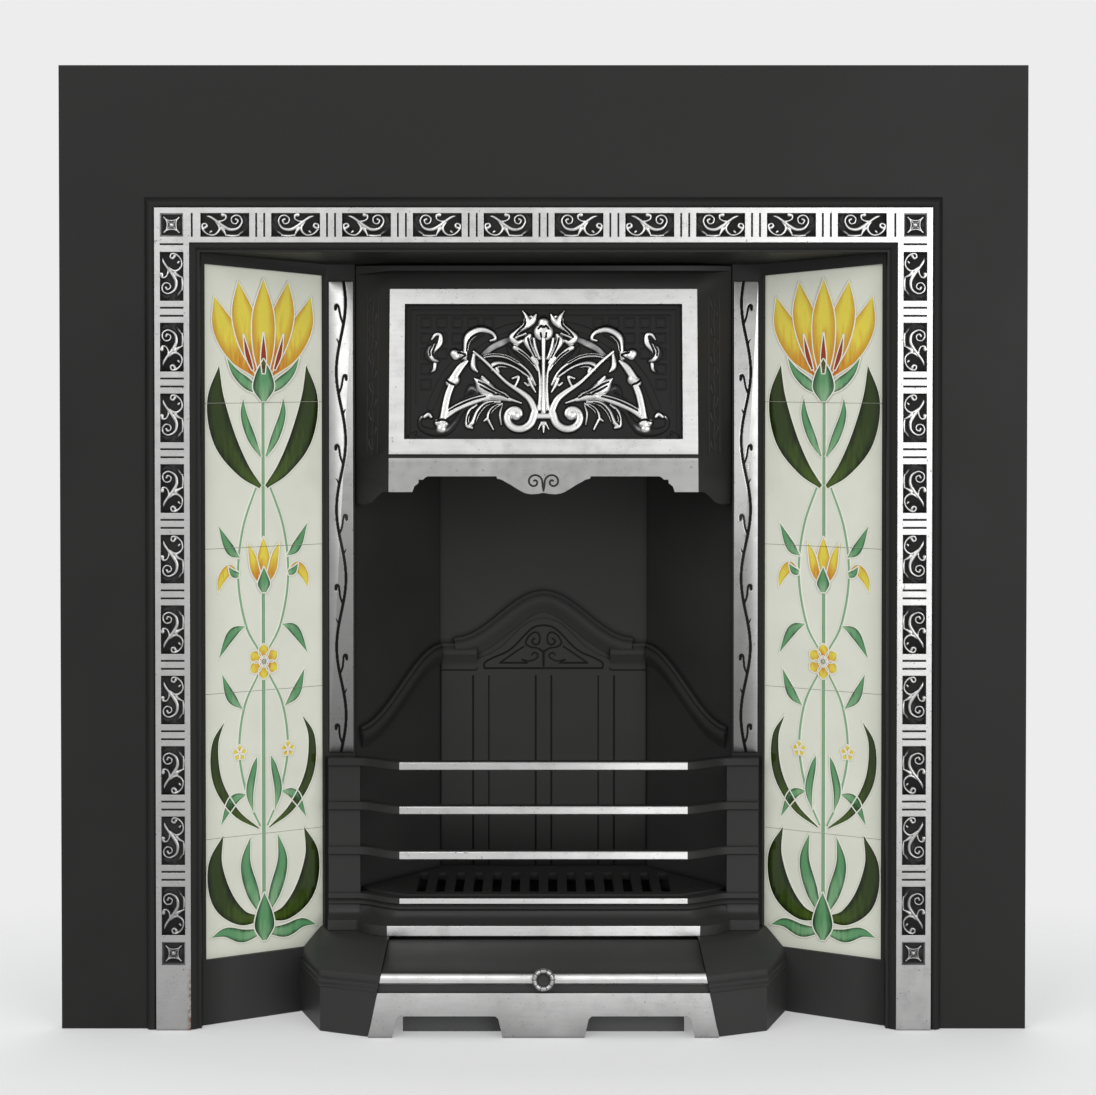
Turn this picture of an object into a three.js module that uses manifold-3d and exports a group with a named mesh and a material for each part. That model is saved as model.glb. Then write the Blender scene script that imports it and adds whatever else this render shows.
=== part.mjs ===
// Cast iron fireplace insert with splayed tile panels, a hooded fire opening and an open grate.
//
// Units are millimetres. X runs to the right, Y runs back into the chimney breast and Z runs up from
// the hearth. While the pieces are drawn, Y = 0 is the front face of the flange. The finished group is
// moved along Y so that its box is centred over the origin, which lies on the hearth.

import * as THREE from 'three';
import { mergeVertices } from 'three/addons/utils/BufferGeometryUtils.js';
import Module from 'manifold-3d';

const wasm = await Module();
wasm.setup();

// ---------------------------------------------------------------- driving sizes

const gap = 0.3; // between two pieces that touch
const footSpare = 2; // the front casting is drawn this far past the hearth, then trimmed flat

// Flange: the flat plate round the whole front
const plateWidth = 1004;
const plateHeight = 1002;
const plateThick = 8;
const rimThick = 5; // stiffening rim behind the plate's edge
const rimDepth = 10;

// Tiles: 6 inch glazed squares, five to a side
const tileSize = 152;
const tileJoint = 0.4;
const tileThick = 9;
const tileRows = 5;
const tileBase = 41.7; // foot of the lowest tile
const tileTuck = 0.7; // how far a tile runs past each end of the splayed face
const tileSight = 4.2; // rim of the window at the jamb and at the border
const sillCover = 26.3; // how much of the lowest tile the window's sill hides
const headCover = 6.7; // how much of the highest tile the window's head hides
const clipRise = 16; // the window's lower inner corner is cut off by the plinth
const clipRun = 10;

// Splayed tile panels and jambs
const splayAngle = THREE.MathUtils.degToRad(33.9);
const splayFront = 12; // depth at which the splay leaves the border
const lipThick = 4.5; // iron in front of the tiles
const fireHalf = 202; // half of the 16 inch fire opening
const jambWidth = 29.5;
const jambThick = 8;
const jambStripProud = 1.5;
const jambStripInset = 1.5;
const jambStripTop = 780;
const soffitDrop = 11.5;
const soffitThick = 6;
const soffitCover = 4.8; // iron over the highest tile

// Border: inner moulding, polished band with sunk panels, outer moulding
const innerMould = 10;
const bandWidth = 36;
const outerMould = 11;
const bandProud = 8;
const panelLong = 50.5;
const panelWide = 24.5;
const panelDeep = 2.5;
const panelPitch = 73.2;
const panelsAcross = 10;
const panelsDown = 10;
const grooveWidth = 2;
const grooveDeep = 1;
const groovePair = 8.3;
const cornerSquare = 24;
const footSquareHeight = 80;

// Rebate ribs that locate the tiles behind the splay, with the steel plates that hold them
const ribWidth = 13;
const ribPlay = 1.2;
const ribFoot = 8.5;
const tilePlateThick = 1.5;
const tileScrewRadius = 2;
const tileScrewHead = 3.8;
const tileScrewDepth = 5;
const tileScrewHeights = [150, 690];

// Fixing lugs behind the flange
const lugReach = 25;
const lugHeight = 30;
const lugThick = 6;
const lugHole = 4.5;
const lugInset = 56;
const lugHeights = [250, 900];

// Plinths at the foot of each splay
const plinthFace = 46; // height of the plain face
const plinthTop = 88.2;
const plinthSplayReach = 26.5; // along X from the jamb's edge to the plinth's outer corner
const plinthCornerX = 232;
const plinthCornerY = -10;
const plinthInnerY = -36;
const plinthWall = 8;

// Hood
const hoodFaceHalf = 163;
const hoodTopY = 76.8; // depth of the leaning face at its top
const hoodBottomY = 41.7; // and at its foot
const hoodFaceTop = 787;
const hoodFaceFoot = 557;
const hoodWall = 6.5;
const hoodShoulderY = 97;
const hoodFoot = 542;
const hoodSlices = 7;
const frameBar = 16;
const frameTop = 771;
const frameFoot = 596.5;
const frameProud = 4;
const valanceTop = 592.5;
const boltRadius = 3;
const boltHead = 5.5;
const boltHeadThick = 4;
const boltPlay = 0.4;
const boltDepth = 5;
const hoodBoltHeights = [590, 765];

// Firebox
const backHalf = 115.5;
const backFace = 229;
const fireWall = 7;
const fireHeight = 740;
const backFlange = 24;
const archTop = 437;
const archFoot = 384;
const archHalf = 100;
const archBand = 24;
const archProud = 7;
const shoulderTop = 378;
const cheekSweepFoot = 300;
const cheekBoltHeights = [190, 500];
const backBoltHeights = [150, 620];

// Throat plate and damper
const throatThick = 6;
const flueHalf = 110;
const flueFront = 130;
const flueBack = 205;
const flapThick = 5;
const flapLap = 6;
const hingeRise = 7;
const hingeSetback = 8;
const knuckleRadius = 6;
const pinRadius = 3;
const pinPlay = 0.4;
const earThick = 6;
const earPlay = 2;
const throatPlay = 7; // from the hood's inside

// Front bars
const barReach = 46.1; // from the jamb's face forward to the straight front of the bars
const barHalf = 153;
const barDepth = 13;
const barHeight = 9;
const barTops = [271, 224, 176];
const postInner = 196;
const postOuter = 230;
const postDepth = 12.1; // from the jamb's face to the front of the posts
const railAhead = 4; // the rails stand this far in front of the posts
const baseTop = 126;
const baseHalf = 167;
const baseProud = 11;
const spigotSize = 8;
const spigotDrop = 8;
const spigotPlay = 0.6;

// Bottom grate
const grateTop = 127.5;
const grateThick = 8;
const gratePlay = 3;
const grateSlots = 14;
const slotPitch = 20.2;
const slotWidth = 10;
const slotFront = 80;
const slotBack = 188;
const ledgeWidth = 10;
const ledgeThick = 8;
const ledgeFront = 14; // where a cheek's ledge starts, along the cheek
const ledgeRear = 22; // and how far short of the fireback it ends

// Ashpan cover
const coverFront = -40;
const coverHalfFoot = 180.5;
const coverHalfTop = 163;
const coverTop = 85;
const coverBack = 38;
const coverWall = 6;
const coverPlateTop = 46;
const rollFoot = 55;
const rollTop = 67;
const rollProud = 3;
const coverPlay = 0.6;
const ventTop = 22;
const ventInner = 42;
const ventOuter = 156;
const ventSlope = 4.5;
const knobHeight = 62;
const knobRadius = 12;
const knobLong = 9;
const knobBossRadius = 7;
const knobStudRadius = 2.5;
const knobStudPlay = 0.4;
const knobScrewHead = 3.5;

// Ash pan
const panHalf = 146;
const panFront = -12;
const panBack = 175;
const panHeight = 50;
const panSheet = 1.5;
const panHandleHalf = 40;
const panHandleReach = 15;
const panHandleRod = 5;

// ---------------------------------------------------------------- places that follow from them

const tilePitch = tileSize + tileJoint;
const splayCos = Math.cos(splayAngle);
const splaySin = Math.sin(splayAngle);
const splayRun = tileSize - 2 * tileTuck;
const jambOuter = fireHalf + jambWidth;
const openHalf = jambOuter + splayRun * splayCos;
const jambFace = splayFront + splayRun * splaySin;
const jambBack = jambFace + jambThick;
const postFace = jambFace - postDepth;
const railAtPost = postFace - railAhead;
const barFront = jambFace - barReach;
const stackTop = tileBase + tileRows * tilePitch;
const openTop = stackTop + soffitCover;
const soffitBack = openTop - soffitDrop;
const borderWidth = innerMould + bandWidth + outerMould;
const tileFace = lipThick + gap;
const tileRear = tileFace + tileThick;
const flangeOuter = jambOuter - ribFoot - 2 * gap;
const flangeFront = jambBack + gap;
const boltX = (fireHalf + flangeOuter) / 2 + 1;
const throatBase = fireHeight + gap;
const throatTop = throatBase + throatThick;
const hingeY = flueBack + hingeSetback;
const hingeZ = throatTop + hingeRise;
const hoodHalf = fireHalf - 1;
const wingBack = flangeFront + hoodWall;
const tileScrewRuns = [-tileTuck - ribPlay - ribWidth / 2, splayRun + tileTuck + ribPlay + ribWidth / 2];
const backBoltX = backHalf + backFlange - boltHead - 1;
const cheekFront = [fireHalf + gap + 0.2, flangeFront];
const cheekBack = [backHalf, backFace - gap];
const cheekRun = Math.hypot(cheekFront[0] - cheekBack[0], cheekBack[1] - cheekFront[1]);
const cheekAlong = [(cheekBack[0] - cheekFront[0]) / cheekRun, (cheekBack[1] - cheekFront[1]) / cheekRun];
const ledgeTop = grateTop - grateThick - gap;
const knobSeat = coverFront - rollProud - 0.5;
const knobStudSeat = coverFront + coverWall + 2 + gap;

// ---------------------------------------------------------------- solids

// A closed geometry as a solid that can be joined and cut. A mirrored one has its faces turned back out.
function toSolid(geometry, mirrored = false) {
  geometry.deleteAttribute('normal');
  geometry.deleteAttribute('uv');
  const merged = mergeVertices(geometry, 1e-4);
  const corners = Uint32Array.from(merged.index.array);
  if (mirrored) {
    for (let i = 0; i < corners.length; i += 3) {
      [corners[i], corners[i + 1]] = [corners[i + 1], corners[i]];
    }
  }
  const vertProperties = Float32Array.from(merged.attributes.position.array);
  return new wasm.Manifold(new wasm.Mesh({ numProp: 3, vertProperties, triVerts: corners }));
}

function toGeometry(solid) {
  const { vertProperties, triVerts } = solid.getMesh();
  const geometry = new THREE.BufferGeometry();
  geometry.setAttribute('position', new THREE.BufferAttribute(vertProperties, 3));
  geometry.setIndex(new THREE.BufferAttribute(triVerts, 1));
  return geometry.toNonIndexed();
}

function join(...solids) {
  return solids.reduce((whole, next) => whole.add(next));
}

function cut(solid, ...tools) {
  return tools.reduce((rest, tool) => rest.subtract(tool), solid);
}

// An outline of [u, v] points pushed a distance along the third direction of a frame of axes.
function extrude(outline, depth, origin, uAxis, vAxis, wAxis) {
  const shape = new THREE.Shape(outline.map(([u, v]) => new THREE.Vector2(u, v)));
  const geometry = new THREE.ExtrudeGeometry(shape, { depth, bevelEnabled: false, steps: 1 });
  const frame = new THREE.Matrix4().makeBasis(uAxis, vAxis, wAxis).setPosition(origin);
  geometry.applyMatrix4(frame);
  return toSolid(geometry, frame.determinant() < 0);
}

const axisX = new THREE.Vector3(1, 0, 0);
const axisY = new THREE.Vector3(0, 1, 0);
const axisZ = new THREE.Vector3(0, 0, 1);

// A plan outline of [x, y] points between two heights; side -1 mirrors it to the left.
function upright(outline, z0, z1, side = 1) {
  const sideways = axisX.clone().multiplyScalar(side);
  return extrude(outline, z1 - z0, new THREE.Vector3(0, 0, z0), sideways, axisY, axisZ);
}

// A front outline of [x, z] points between two depths.
function facing(outline, y0, y1, side = 1) {
  const sideways = axisX.clone().multiplyScalar(side);
  return extrude(outline, y1 - y0, new THREE.Vector3(0, y0, 0), sideways, axisZ, axisY);
}

// A side outline of [y, z] points between two places along X.
function across(outline, x0, x1) {
  return extrude(outline, x1 - x0, new THREE.Vector3(x0, 0, 0), axisY, axisZ, axisX);
}

function block(x0, x1, y0, y1, z0, z1) {
  const geometry = new THREE.BoxGeometry(Math.abs(x1 - x0), Math.abs(y1 - y0), Math.abs(z1 - z0));
  geometry.translate((x0 + x1) / 2, (y0 + y1) / 2, (z0 + z1) / 2);
  return toSolid(geometry);
}

function bar(radius, from, to, segments = 16) {
  const length = from.distanceTo(to);
  const geometry = new THREE.CylinderGeometry(radius, radius, length, segments);
  const turn = new THREE.Quaternion().setFromUnitVectors(axisY, to.clone().sub(from).normalize());
  geometry.applyQuaternion(turn);
  const middle = from.clone().add(to).multiplyScalar(0.5);
  geometry.translate(middle.x, middle.y, middle.z);
  return toSolid(geometry);
}

// A skin over rings of points, closed by a flat cap at each end. Flat turns a point into a 2-D one.
function loft(rings, flat) {
  const clockwise = THREE.ShapeUtils.isClockWise(rings[0].map(flat));
  const turned = clockwise ? rings.map((ring) => [...ring].reverse()) : rings;
  const count = turned[0].length;
  const lastStart = (turned.length - 1) * count;
  const index = [];
  for (let start = 0; start < lastStart; start += count) {
    for (let j = 0; j < count; j += 1) {
      const a = start + j;
      const b = start + ((j + 1) % count);
      index.push(a, b, b + count, a, b + count, a + count);
    }
  }
  THREE.ShapeUtils.triangulateShape(turned[0].map(flat), [])
    .forEach(([a, b, c]) => index.push(c, b, a));
  THREE.ShapeUtils.triangulateShape(turned.at(-1).map(flat), [])
    .forEach((cap) => index.push(...cap.map((corner) => corner + lastStart)));
  const points = turned.flat();
  const volume = index.reduce((sum, corner, i) => (i % 3 ? sum
    : sum + points[corner].dot(points[index[i + 1]].clone().cross(points[index[i + 2]]))), 0);
  const geometry = new THREE.BufferGeometry().setFromPoints(points);
  geometry.setIndex(volume > 0 ? index : index.reverse());
  return toSolid(geometry);
}

// A moulding of [out, along up] points run along a path with mitred corners. Out is path x up.
function moulding(profile, path, up) {
  const headings = path.slice(1).map((point, i) => point.clone().sub(path[i]).normalize());
  const rings = path.map((point, i) => {
    const before = headings[Math.max(i - 1, 0)].clone().cross(up);
    const after = headings[Math.min(i, headings.length - 1)].clone().cross(up);
    const mitre = before.clone().add(after).normalize();
    mitre.divideScalar(mitre.dot(after));
    return profile.map(([out, rise]) => (
      point.clone().addScaledVector(mitre, out).addScaledVector(up, rise)));
  });
  const flats = new Map();
  rings.forEach((ring) => ring.forEach((point, j) => {
    flats.set(point, new THREE.Vector2(...profile[j]));
  }));
  return loft(rings, (point) => flats.get(point));
}

function mix(a, b, share) {
  return a + (b - a) * share;
}

// Half an outline, from the middle to the right, with its mirror image put in front of it.
function bothHalves(half) {
  return [...half.map(([u, v]) => [-u, v]).reverse(), ...half];
}

// ---------------------------------------------------------------- front casting

// A place on the right-hand splay: a distance from the jamb and a depth behind its visible face.
function splay(run, behind) {
  return [
    jambOuter + run * splayCos + behind * splaySin,
    jambFace - run * splaySin + behind * splayCos,
  ];
}

// An outline of [run, z] points on the splay, between two depths behind its face.
function onSplay(outline, behind0, behind1, side) {
  const [x, y] = splay(0, behind0);
  const run = new THREE.Vector3(side * splayCos, -splaySin, 0);
  const behind = new THREE.Vector3(side * splaySin, splayCos, 0);
  return extrude(outline, behind1 - behind0, new THREE.Vector3(side * x, y, 0), run, axisZ, behind);
}

function flange() {
  const half = plateWidth / 2;
  const foot = -footSpare;
  const plate = [[-half, foot], [-half, plateHeight], [half, plateHeight], [half, foot],
    [openHalf, foot], [openHalf, openTop], [-openHalf, openTop], [-openHalf, foot]];
  const inner = half - rimThick;
  const rimTop = plateHeight - rimThick;
  const rim = [[-half, foot], [-half, plateHeight], [half, plateHeight], [half, foot],
    [inner, foot], [inner, rimTop], [-inner, rimTop], [-inner, foot]];
  return join(facing(plate, 0, plateThick), facing(rim, plateThick / 2, plateThick + rimDepth));
}

function border() {
  const outer = innerMould + bandWidth;
  const profile = [
    [0, splayFront + 2], [0, 2], [0.2 * innerMould, 0.4], [0.38 * innerMould, -0.2 * bandProud],
    [0.6 * innerMould, -0.5 * bandProud], [0.85 * innerMould, -0.62 * bandProud],
    [innerMould, -0.72 * bandProud], [innerMould, -bandProud],
    [outer, -bandProud], [outer, -0.5 * bandProud], [outer + 0.2 * outerMould, -0.7 * bandProud],
    [outer + 0.5 * outerMould, -0.8 * bandProud], [outer + 0.8 * outerMould, -0.55 * bandProud],
    [borderWidth, 0], [borderWidth, plateThick / 2],
    [innerMould, plateThick / 2], [innerMould, splayFront + 2],
  ];
  const foot = -footSpare;
  const path = [[-openHalf, foot], [-openHalf, openTop], [openHalf, openTop], [openHalf, foot]]
    .map(([x, z]) => new THREE.Vector3(x, 0, z));
  return moulding(profile, path, axisY);
}

// A hollow in the face of the polished band, given by its centre, its two sizes and its depth.
function hollow(x, z, wide, tall, deep = panelDeep) {
  return block(x - wide / 2, x + wide / 2, -bandProud - 1, -bandProud + deep,
    z - tall / 2, z + tall / 2);
}

function sunkPanels() {
  const bandX = openHalf + innerMould + bandWidth / 2;
  const bandZ = openTop + innerMould + bandWidth / 2;
  const rowEnd = ((panelsAcross - 1) * panelPitch + panelLong) / 2;
  const row = Array.from({ length: panelsAcross }, (_, i) => (
    hollow((i - (panelsAcross - 1) / 2) * panelPitch, bandZ, panelLong, panelWide)));
  const rowGrooves = Array.from({ length: panelsAcross - 1 }, (_, i) => (
    [-1, 1].map((way) => (i - panelsAcross / 2 + 1) * panelPitch + (way * groovePair) / 2))).flat();
  const firstDrop = (cornerSquare + panelLong) / 2 + (panelPitch - panelLong) * 0.7;
  const columnGrooves = Array.from({ length: panelsDown - 1 }, (_, i) => (
    [-1, 1].map((way) => bandZ - firstDrop - (i + 0.5) * panelPitch + (way * groovePair) / 2))).flat();
  const squareGroove = bandZ - (cornerSquare / 2 + firstDrop - panelLong / 2) / 2;
  const columns = [-1, 1].flatMap((side) => [
    hollow(side * bandX, bandZ, cornerSquare, cornerSquare),
    hollow(side * bandX, footSquareHeight, cornerSquare, cornerSquare),
    hollow((side * (bandX - cornerSquare / 2 + rowEnd)) / 2, bandZ, grooveWidth, panelWide, grooveDeep),
    ...Array.from({ length: panelsDown }, (_, i) => (
      hollow(side * bandX, bandZ - firstDrop - i * panelPitch, panelWide, panelLong))),
    ...[squareGroove, ...columnGrooves].map((z) => (
      hollow(side * bandX, z, panelWide, grooveWidth, grooveDeep))),
  ]);
  return [...row, ...rowGrooves.map((x) => hollow(x, bandZ, grooveWidth, panelWide, grooveDeep)), ...columns];
}

function splayPanel(side) {
  const past = lipThick + gap;
  const lip = upright([splay(-past, 0), splay(splayRun + past, 0),
    splay(splayRun + past, lipThick), splay(-past, lipThick)], -footSpare, openTop + soffitThick / 2, side);
  const sill = tileBase + sillCover;
  const head = stackTop - headCover;
  const windowDrop = soffitDrop * (1 - (2 * tileSight) / splayRun);
  const window = [[tileSight, sill + clipRise], [tileSight + clipRun, sill], [splayRun - tileSight, sill],
    [splayRun - tileSight, head], [tileSight, head - windowDrop]];
  const near = -tileTuck - ribPlay;
  const far = splayRun + tileTuck + ribPlay;
  const low = tileBase - gap;
  const high = stackTop + gap;
  const root = lipThick / 2;
  const [farX] = splay(far, root);
  const [endX] = splay(far + ribWidth, tileRear);
  const jambRib = [splay(near, root), splay(near, tileRear), splay(near - ribWidth, tileRear),
    [jambOuter - ribFoot, jambBack - 1]];
  const borderRib = [splay(far, root), splay(far, tileRear), splay(far + ribWidth, tileRear),
    [endX, plateThick - 1], [farX, plateThick - 1]];
  const ledge = (z0, z1) => onSplay([[near - 2, z0], [far + 2, z0], [far + 2, z1], [near - 2, z1]],
    root, tileRear, side);
  return join(
    cut(lip, onSplay(window, -1, lipThick + 1, side)),
    upright(jambRib, low - ribFoot - 1, high + ribFoot + 1, side),
    upright(borderRib, low - ribFoot - 1, high + ribFoot + 1, side),
    ledge(low - ribFoot, low),
    ledge(high, high + ribFoot),
  );
}

function jamb(side) {
  const stripFoot = barTops[0] + 4;
  return join(
    block(side * fireHalf, side * (jambOuter + gap), jambFace, jambBack,
      -footSpare, soffitBack + soffitThick / 2),
    block(side * (fireHalf + jambStripInset), side * (jambOuter - jambStripInset),
      jambFace - jambStripProud, jambFace + 1, stripFoot, jambStripTop),
  );
}

function soffit() {
  const section = [[splayFront - 2, openTop], [jambBack, soffitBack],
    [jambBack, soffitBack + soffitThick], [splayFront - 2, openTop + soffitThick]];
  const right = [splay(-12, lipThick / 2), splay(splayRun + 12, lipThick / 2)];
  const plan = [...right, ...right.map(([x, y]) => [-x, y]).reverse()];
  return across(section, -openHalf - 4, openHalf + 4)
    .intersect(upright(plan, soffitBack - soffitThick, openTop + 2 * soffitThick));
}

// Where two plan lines meet, each given by two points, the first pushed to its left by a distance.
function meet([a, b], pushA, [c, d], pushB) {
  const pushed = ([p, q], push) => {
    const length = Math.hypot(q[0] - p[0], q[1] - p[1]);
    const left = [-(q[1] - p[1]) / length, (q[0] - p[0]) / length];
    return [p, q].map(([x, y]) => [x + left[0] * push, y + left[1] * push]);
  };
  const [[ax, ay], [bx, by]] = pushed([a, b], pushA);
  const [[cx, cy], [dx, dy]] = pushed([c, d], pushB);
  const turn = (bx - ax) * (dy - cy) - (by - ay) * (dx - cx);
  const share = ((cx - ax) * (dy - cy) - (cy - ay) * (dx - cx)) / turn;
  return [ax + (bx - ax) * share, ay + (by - ay) * share];
}

// Half-width of the ash pit at a height: the ashpan cover's ends lean in, and the plinths follow.
function pitHalf(z) {
  return mix(coverHalfFoot, coverHalfTop, z / coverTop) + coverPlay;
}

// Plan of a plinth with its side and its front set in by two distances.
function plinthPlan(sideIn, frontIn, pitEdge, backY) {
  const wall = [splay(-2, lipThick / 2), splay(splayRun, lipThick / 2)];
  const outer = splay(plinthSplayReach / splayCos, lipThick / 2);
  const corner = [plinthCornerX, plinthCornerY];
  const inner = [coverHalfFoot, plinthInnerY];
  const pit = [[pitEdge, plinthInnerY], [pitEdge, backY]];
  return [
    meet([corner, outer], sideIn, wall, 0),
    [jambOuter - 2, backY],
    [pitEdge, backY],
    meet([inner, corner], frontIn, pit, 0),
    meet([inner, corner], frontIn, [corner, outer], sideIn),
  ];
}

function plinth(side) {
  const backY = jambBack - 2;
  // Set-in of the side, set-in of the front and share of the height above the plain face
  const steps = [[0, 0, 0], [-1.5, -1.5, 0.04], [-2, -2, 0.08], [-0.8, -0.8, 0.12], [-2, -2, 0.17],
    [-2, -2, 0.22], [0, 0, 0.26], [-1, -1, 0.33], [0, 0, 0.43], [3, 7, 0.52], [8, 18, 0.64],
    [14, 32, 0.78], [20, 45, 0.92], [24, 54, 1]];
  const courses = steps.map(([sideIn, frontIn, share]) => (
    [sideIn, frontIn, mix(plinthFace, plinthTop, share)]));
  const rings = [[0, 0, -footSpare], ...courses].map(([sideIn, frontIn, z]) => (
    plinthPlan(sideIn, frontIn, pitHalf(z), backY).map(([x, y]) => new THREE.Vector3(side * x, y, z))));
  const body = loft(rings, (point) => new THREE.Vector2(point.x, point.y));
  const hollow = plinthPlan(plinthWall, plinthWall, pitHalf(0) + plinthWall, jambFace - plinthWall);
  const spigotHole = spigotSize / 2 + spigotPlay;
  const postX = side * (postInner + postOuter) / 2;
  const postY = (postFace + jambFace) / 2;
  return cut(body,
    upright(hollow, -footSpare - 1, plinthFace + 10, side),
    block(postX - spigotHole, postX + spigotHole, postY - spigotHole / 2, postY + spigotHole / 2,
      plinthTop - spigotDrop - 1, plinthTop + 1));
}

function fixingLug(side, z) {
  const x = side * (plateWidth / 2 - lugInset);
  const y = plateThick + lugReach * 0.6;
  return cut(
    block(x - lugThick / 2, x + lugThick / 2, plateThick - 1, plateThick + lugReach,
      z - lugHeight / 2, z + lugHeight / 2),
    bar(lugHole, new THREE.Vector3(x - lugThick, y, z), new THREE.Vector3(x + lugThick, y, z)),
  );
}

function frontCasting() {
  const sides = [-1, 1];
  const whole = join(flange(), border(), soffit(),
    ...sides.flatMap((side) => [splayPanel(side), jamb(side), plinth(side)]),
    ...sides.flatMap((side) => lugHeights.map((z) => fixingLug(side, z))));
  const jambHoles = sides.flatMap((side) => [...hoodBoltHeights, ...cheekBoltHeights].map((z) => (
    bar(boltRadius + boltPlay, new THREE.Vector3(side * boltX, jambBack - boltDepth, z),
      new THREE.Vector3(side * boltX, jambBack + 1, z)))));
  const screwHoles = sides.flatMap((side) => tileScrewRuns.flatMap((run) => tileScrewHeights.map((z) => {
    const [x0, y0] = splay(run, tileRear - tileScrewDepth - 1);
    const [x1, y1] = splay(run, tileRear + 1);
    return bar(tileScrewRadius + boltPlay, new THREE.Vector3(side * x0, y0, z),
      new THREE.Vector3(side * x1, y1, z), 12);
  })));
  const belowHearth = block(-plateWidth, plateWidth, -plateWidth, plateWidth, -2 * footSpare, 0);
  return cut(whole, belowHearth, ...sunkPanels(), ...jambHoles, ...screwHoles);
}

// ---------------------------------------------------------------- tiles and their steel plates

function tile() {
  return toSolid(new THREE.BoxGeometry(tileSize, tileThick, tileSize));
}

// Steel plate across the backs of one panel's tiles, drawn in the panel's own frame.
function tilePlate(side) {
  const reach = tileTuck + ribPlay + ribWidth - 1;
  const face = tileRear + gap;
  const plate = block(-side * reach, side * (splayRun + reach), face, face + tilePlateThick,
    tileBase - ribFoot, stackTop + ribFoot);
  return cut(plate, ...tileScrewRuns.flatMap((run) => tileScrewHeights.map((z) => (
    bar(tileScrewRadius + boltPlay, new THREE.Vector3(side * run, face - 1, z),
      new THREE.Vector3(side * run, face + tilePlateThick + 1, z), 12)))));
}

// A fastener whose shank runs along +Y from under its head.
function fastener(radius, length, headRadius, headThick, headSides) {
  return join(
    bar(radius, new THREE.Vector3(0, -headThick / 2, 0), new THREE.Vector3(0, length, 0),
      headSides === 6 ? 16 : 12),
    bar(headRadius, new THREE.Vector3(0, -headThick, 0), new THREE.Vector3(0, 0, 0), headSides),
  );
}

// ---------------------------------------------------------------- hood

function hoodFaceY(z) {
  return mix(hoodBottomY, hoodTopY, (z - hoodFaceFoot) / (hoodFaceTop - hoodFaceFoot));
}

// Half of the hood's lower edge, from the middle to the jamb: a drop, a straight and stepped feet.
const hoodEdge = [[0, 556.8], [6, 555.6], [13, 555.2], [18, 556], [22, 557.5], [28, 561], [34, 564.8],
  [40, 568], [44, 570.4], [49, 571.6], [49.5, 573.9], [122, 573.9], [124.5, 572.6], [126.7, 570.4],
  [131.4, 570.4], [131.6, 566.9], [136, 563.4], [138, 557.5], [hoodFaceHalf, 557.5], [170, 556.5],
  [176, 551.5], [182, 545], [188, 542.6], [192, hoodFoot], [hoodHalf, hoodFoot]];

function hood() {
  const hoodTop = soffitBack - gap - 0.2;
  const plan = (faceY) => {
    const half = [[hoodFaceHalf, faceY], [hoodHalf, hoodShoulderY], [hoodHalf, flangeFront],
      [flangeOuter, flangeFront], [flangeOuter, wingBack], [hoodHalf - hoodWall, wingBack],
      [hoodHalf - hoodWall, hoodShoulderY + 5], [hoodFaceHalf - 4, faceY + hoodWall]];
    return [...half, ...half.map(([x, y]) => [-x, y]).reverse()];
  };
  const closeZ = hoodTop - hoodWall;
  const closeY = mix(hoodTopY, hoodShoulderY, 0.2);
  // The canted sides are twisted, so the shell is sliced finely enough to keep its wall true.
  const leaning = [...Array(hoodSlices + 1).keys()].map((slice) => mix(hoodFoot - 4, hoodFaceTop, slice / hoodSlices));
  const shellRings = [...leaning.map((z) => [z, hoodFaceY(z)]), [closeZ + 1, closeY]]
    .map(([z, faceY]) => plan(faceY).map(([x, y]) => new THREE.Vector3(x, y, z)));
  const lidPlan = [[hoodFaceHalf, closeY], [hoodHalf, hoodShoulderY], [hoodHalf, wingBack]];
  const lid = upright([...lidPlan, ...lidPlan.map(([x, y]) => [-x, y]).reverse()], closeZ, hoodTop);

  const lean = new THREE.Vector3(0, hoodTopY - hoodBottomY, hoodFaceTop - hoodFaceFoot).normalize();
  const proud = axisX.clone().cross(lean);
  const onFace = (half, z0, z1, from, to) => {
    const [v0, v1] = [z0, z1].map((z) => (z - hoodFaceFoot) / lean.z);
    const origin = new THREE.Vector3(0, hoodBottomY, hoodFaceFoot).addScaledVector(proud, from);
    return extrude([[-half, v0], [half, v0], [half, v1], [-half, v1]], to - from, origin, axisX, lean, proud);
  };
  const fieldHalf = hoodFaceHalf - frameBar;
  const fieldFoot = frameFoot + frameBar;
  const fieldTop = frameTop - frameBar;
  const face = join(
    loft(shellRings, (point) => new THREE.Vector2(point.x, point.y)), lid,
    onFace(hoodFaceHalf, frameFoot, frameTop, -1, frameProud),
    onFace(hoodFaceHalf, hoodFoot, valanceTop, -1, frameProud),
  );
  const past = flangeOuter + hoodWall;
  const under = hoodFoot - hoodWall;
  const below = [...bothHalves(hoodEdge), [past, hoodFoot], [past, under], [-past, under], [-past, hoodFoot]];
  const holes = [-1, 1].flatMap((way) => hoodBoltHeights.map((z) => (
    bar(boltRadius + boltPlay, new THREE.Vector3(way * boltX, flangeFront - 1, z),
      new THREE.Vector3(way * boltX, wingBack + 1, z)))));
  return cut(face, onFace(fieldHalf, fieldFoot, fieldTop, -2.5, frameProud + 1),
    facing(below, 0, wingBack + 5), ...holes);
}

// ---------------------------------------------------------------- firebox

// Raised moulding of the fireback, as [up, out of the wall] points below its upper edge
const archProfile = [[0, 1], [0, -0.55], [-0.1, -0.8], [-0.2, -0.6], [-0.33, -0.95], [-0.5, -1],
  [-0.7, -0.6], [-0.9, -0.25], [-1, -0.1], [-1, 1]]
  .map(([up, out]) => [up * archBand, out > 0 ? out : out * archProud]);

// A height that falls from one level to another along a soft S, for a share from 0 to 1.
function softFall(high, low, share) {
  return mix(low, high, (1 + Math.cos(Math.PI * share)) / 2);
}

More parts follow.
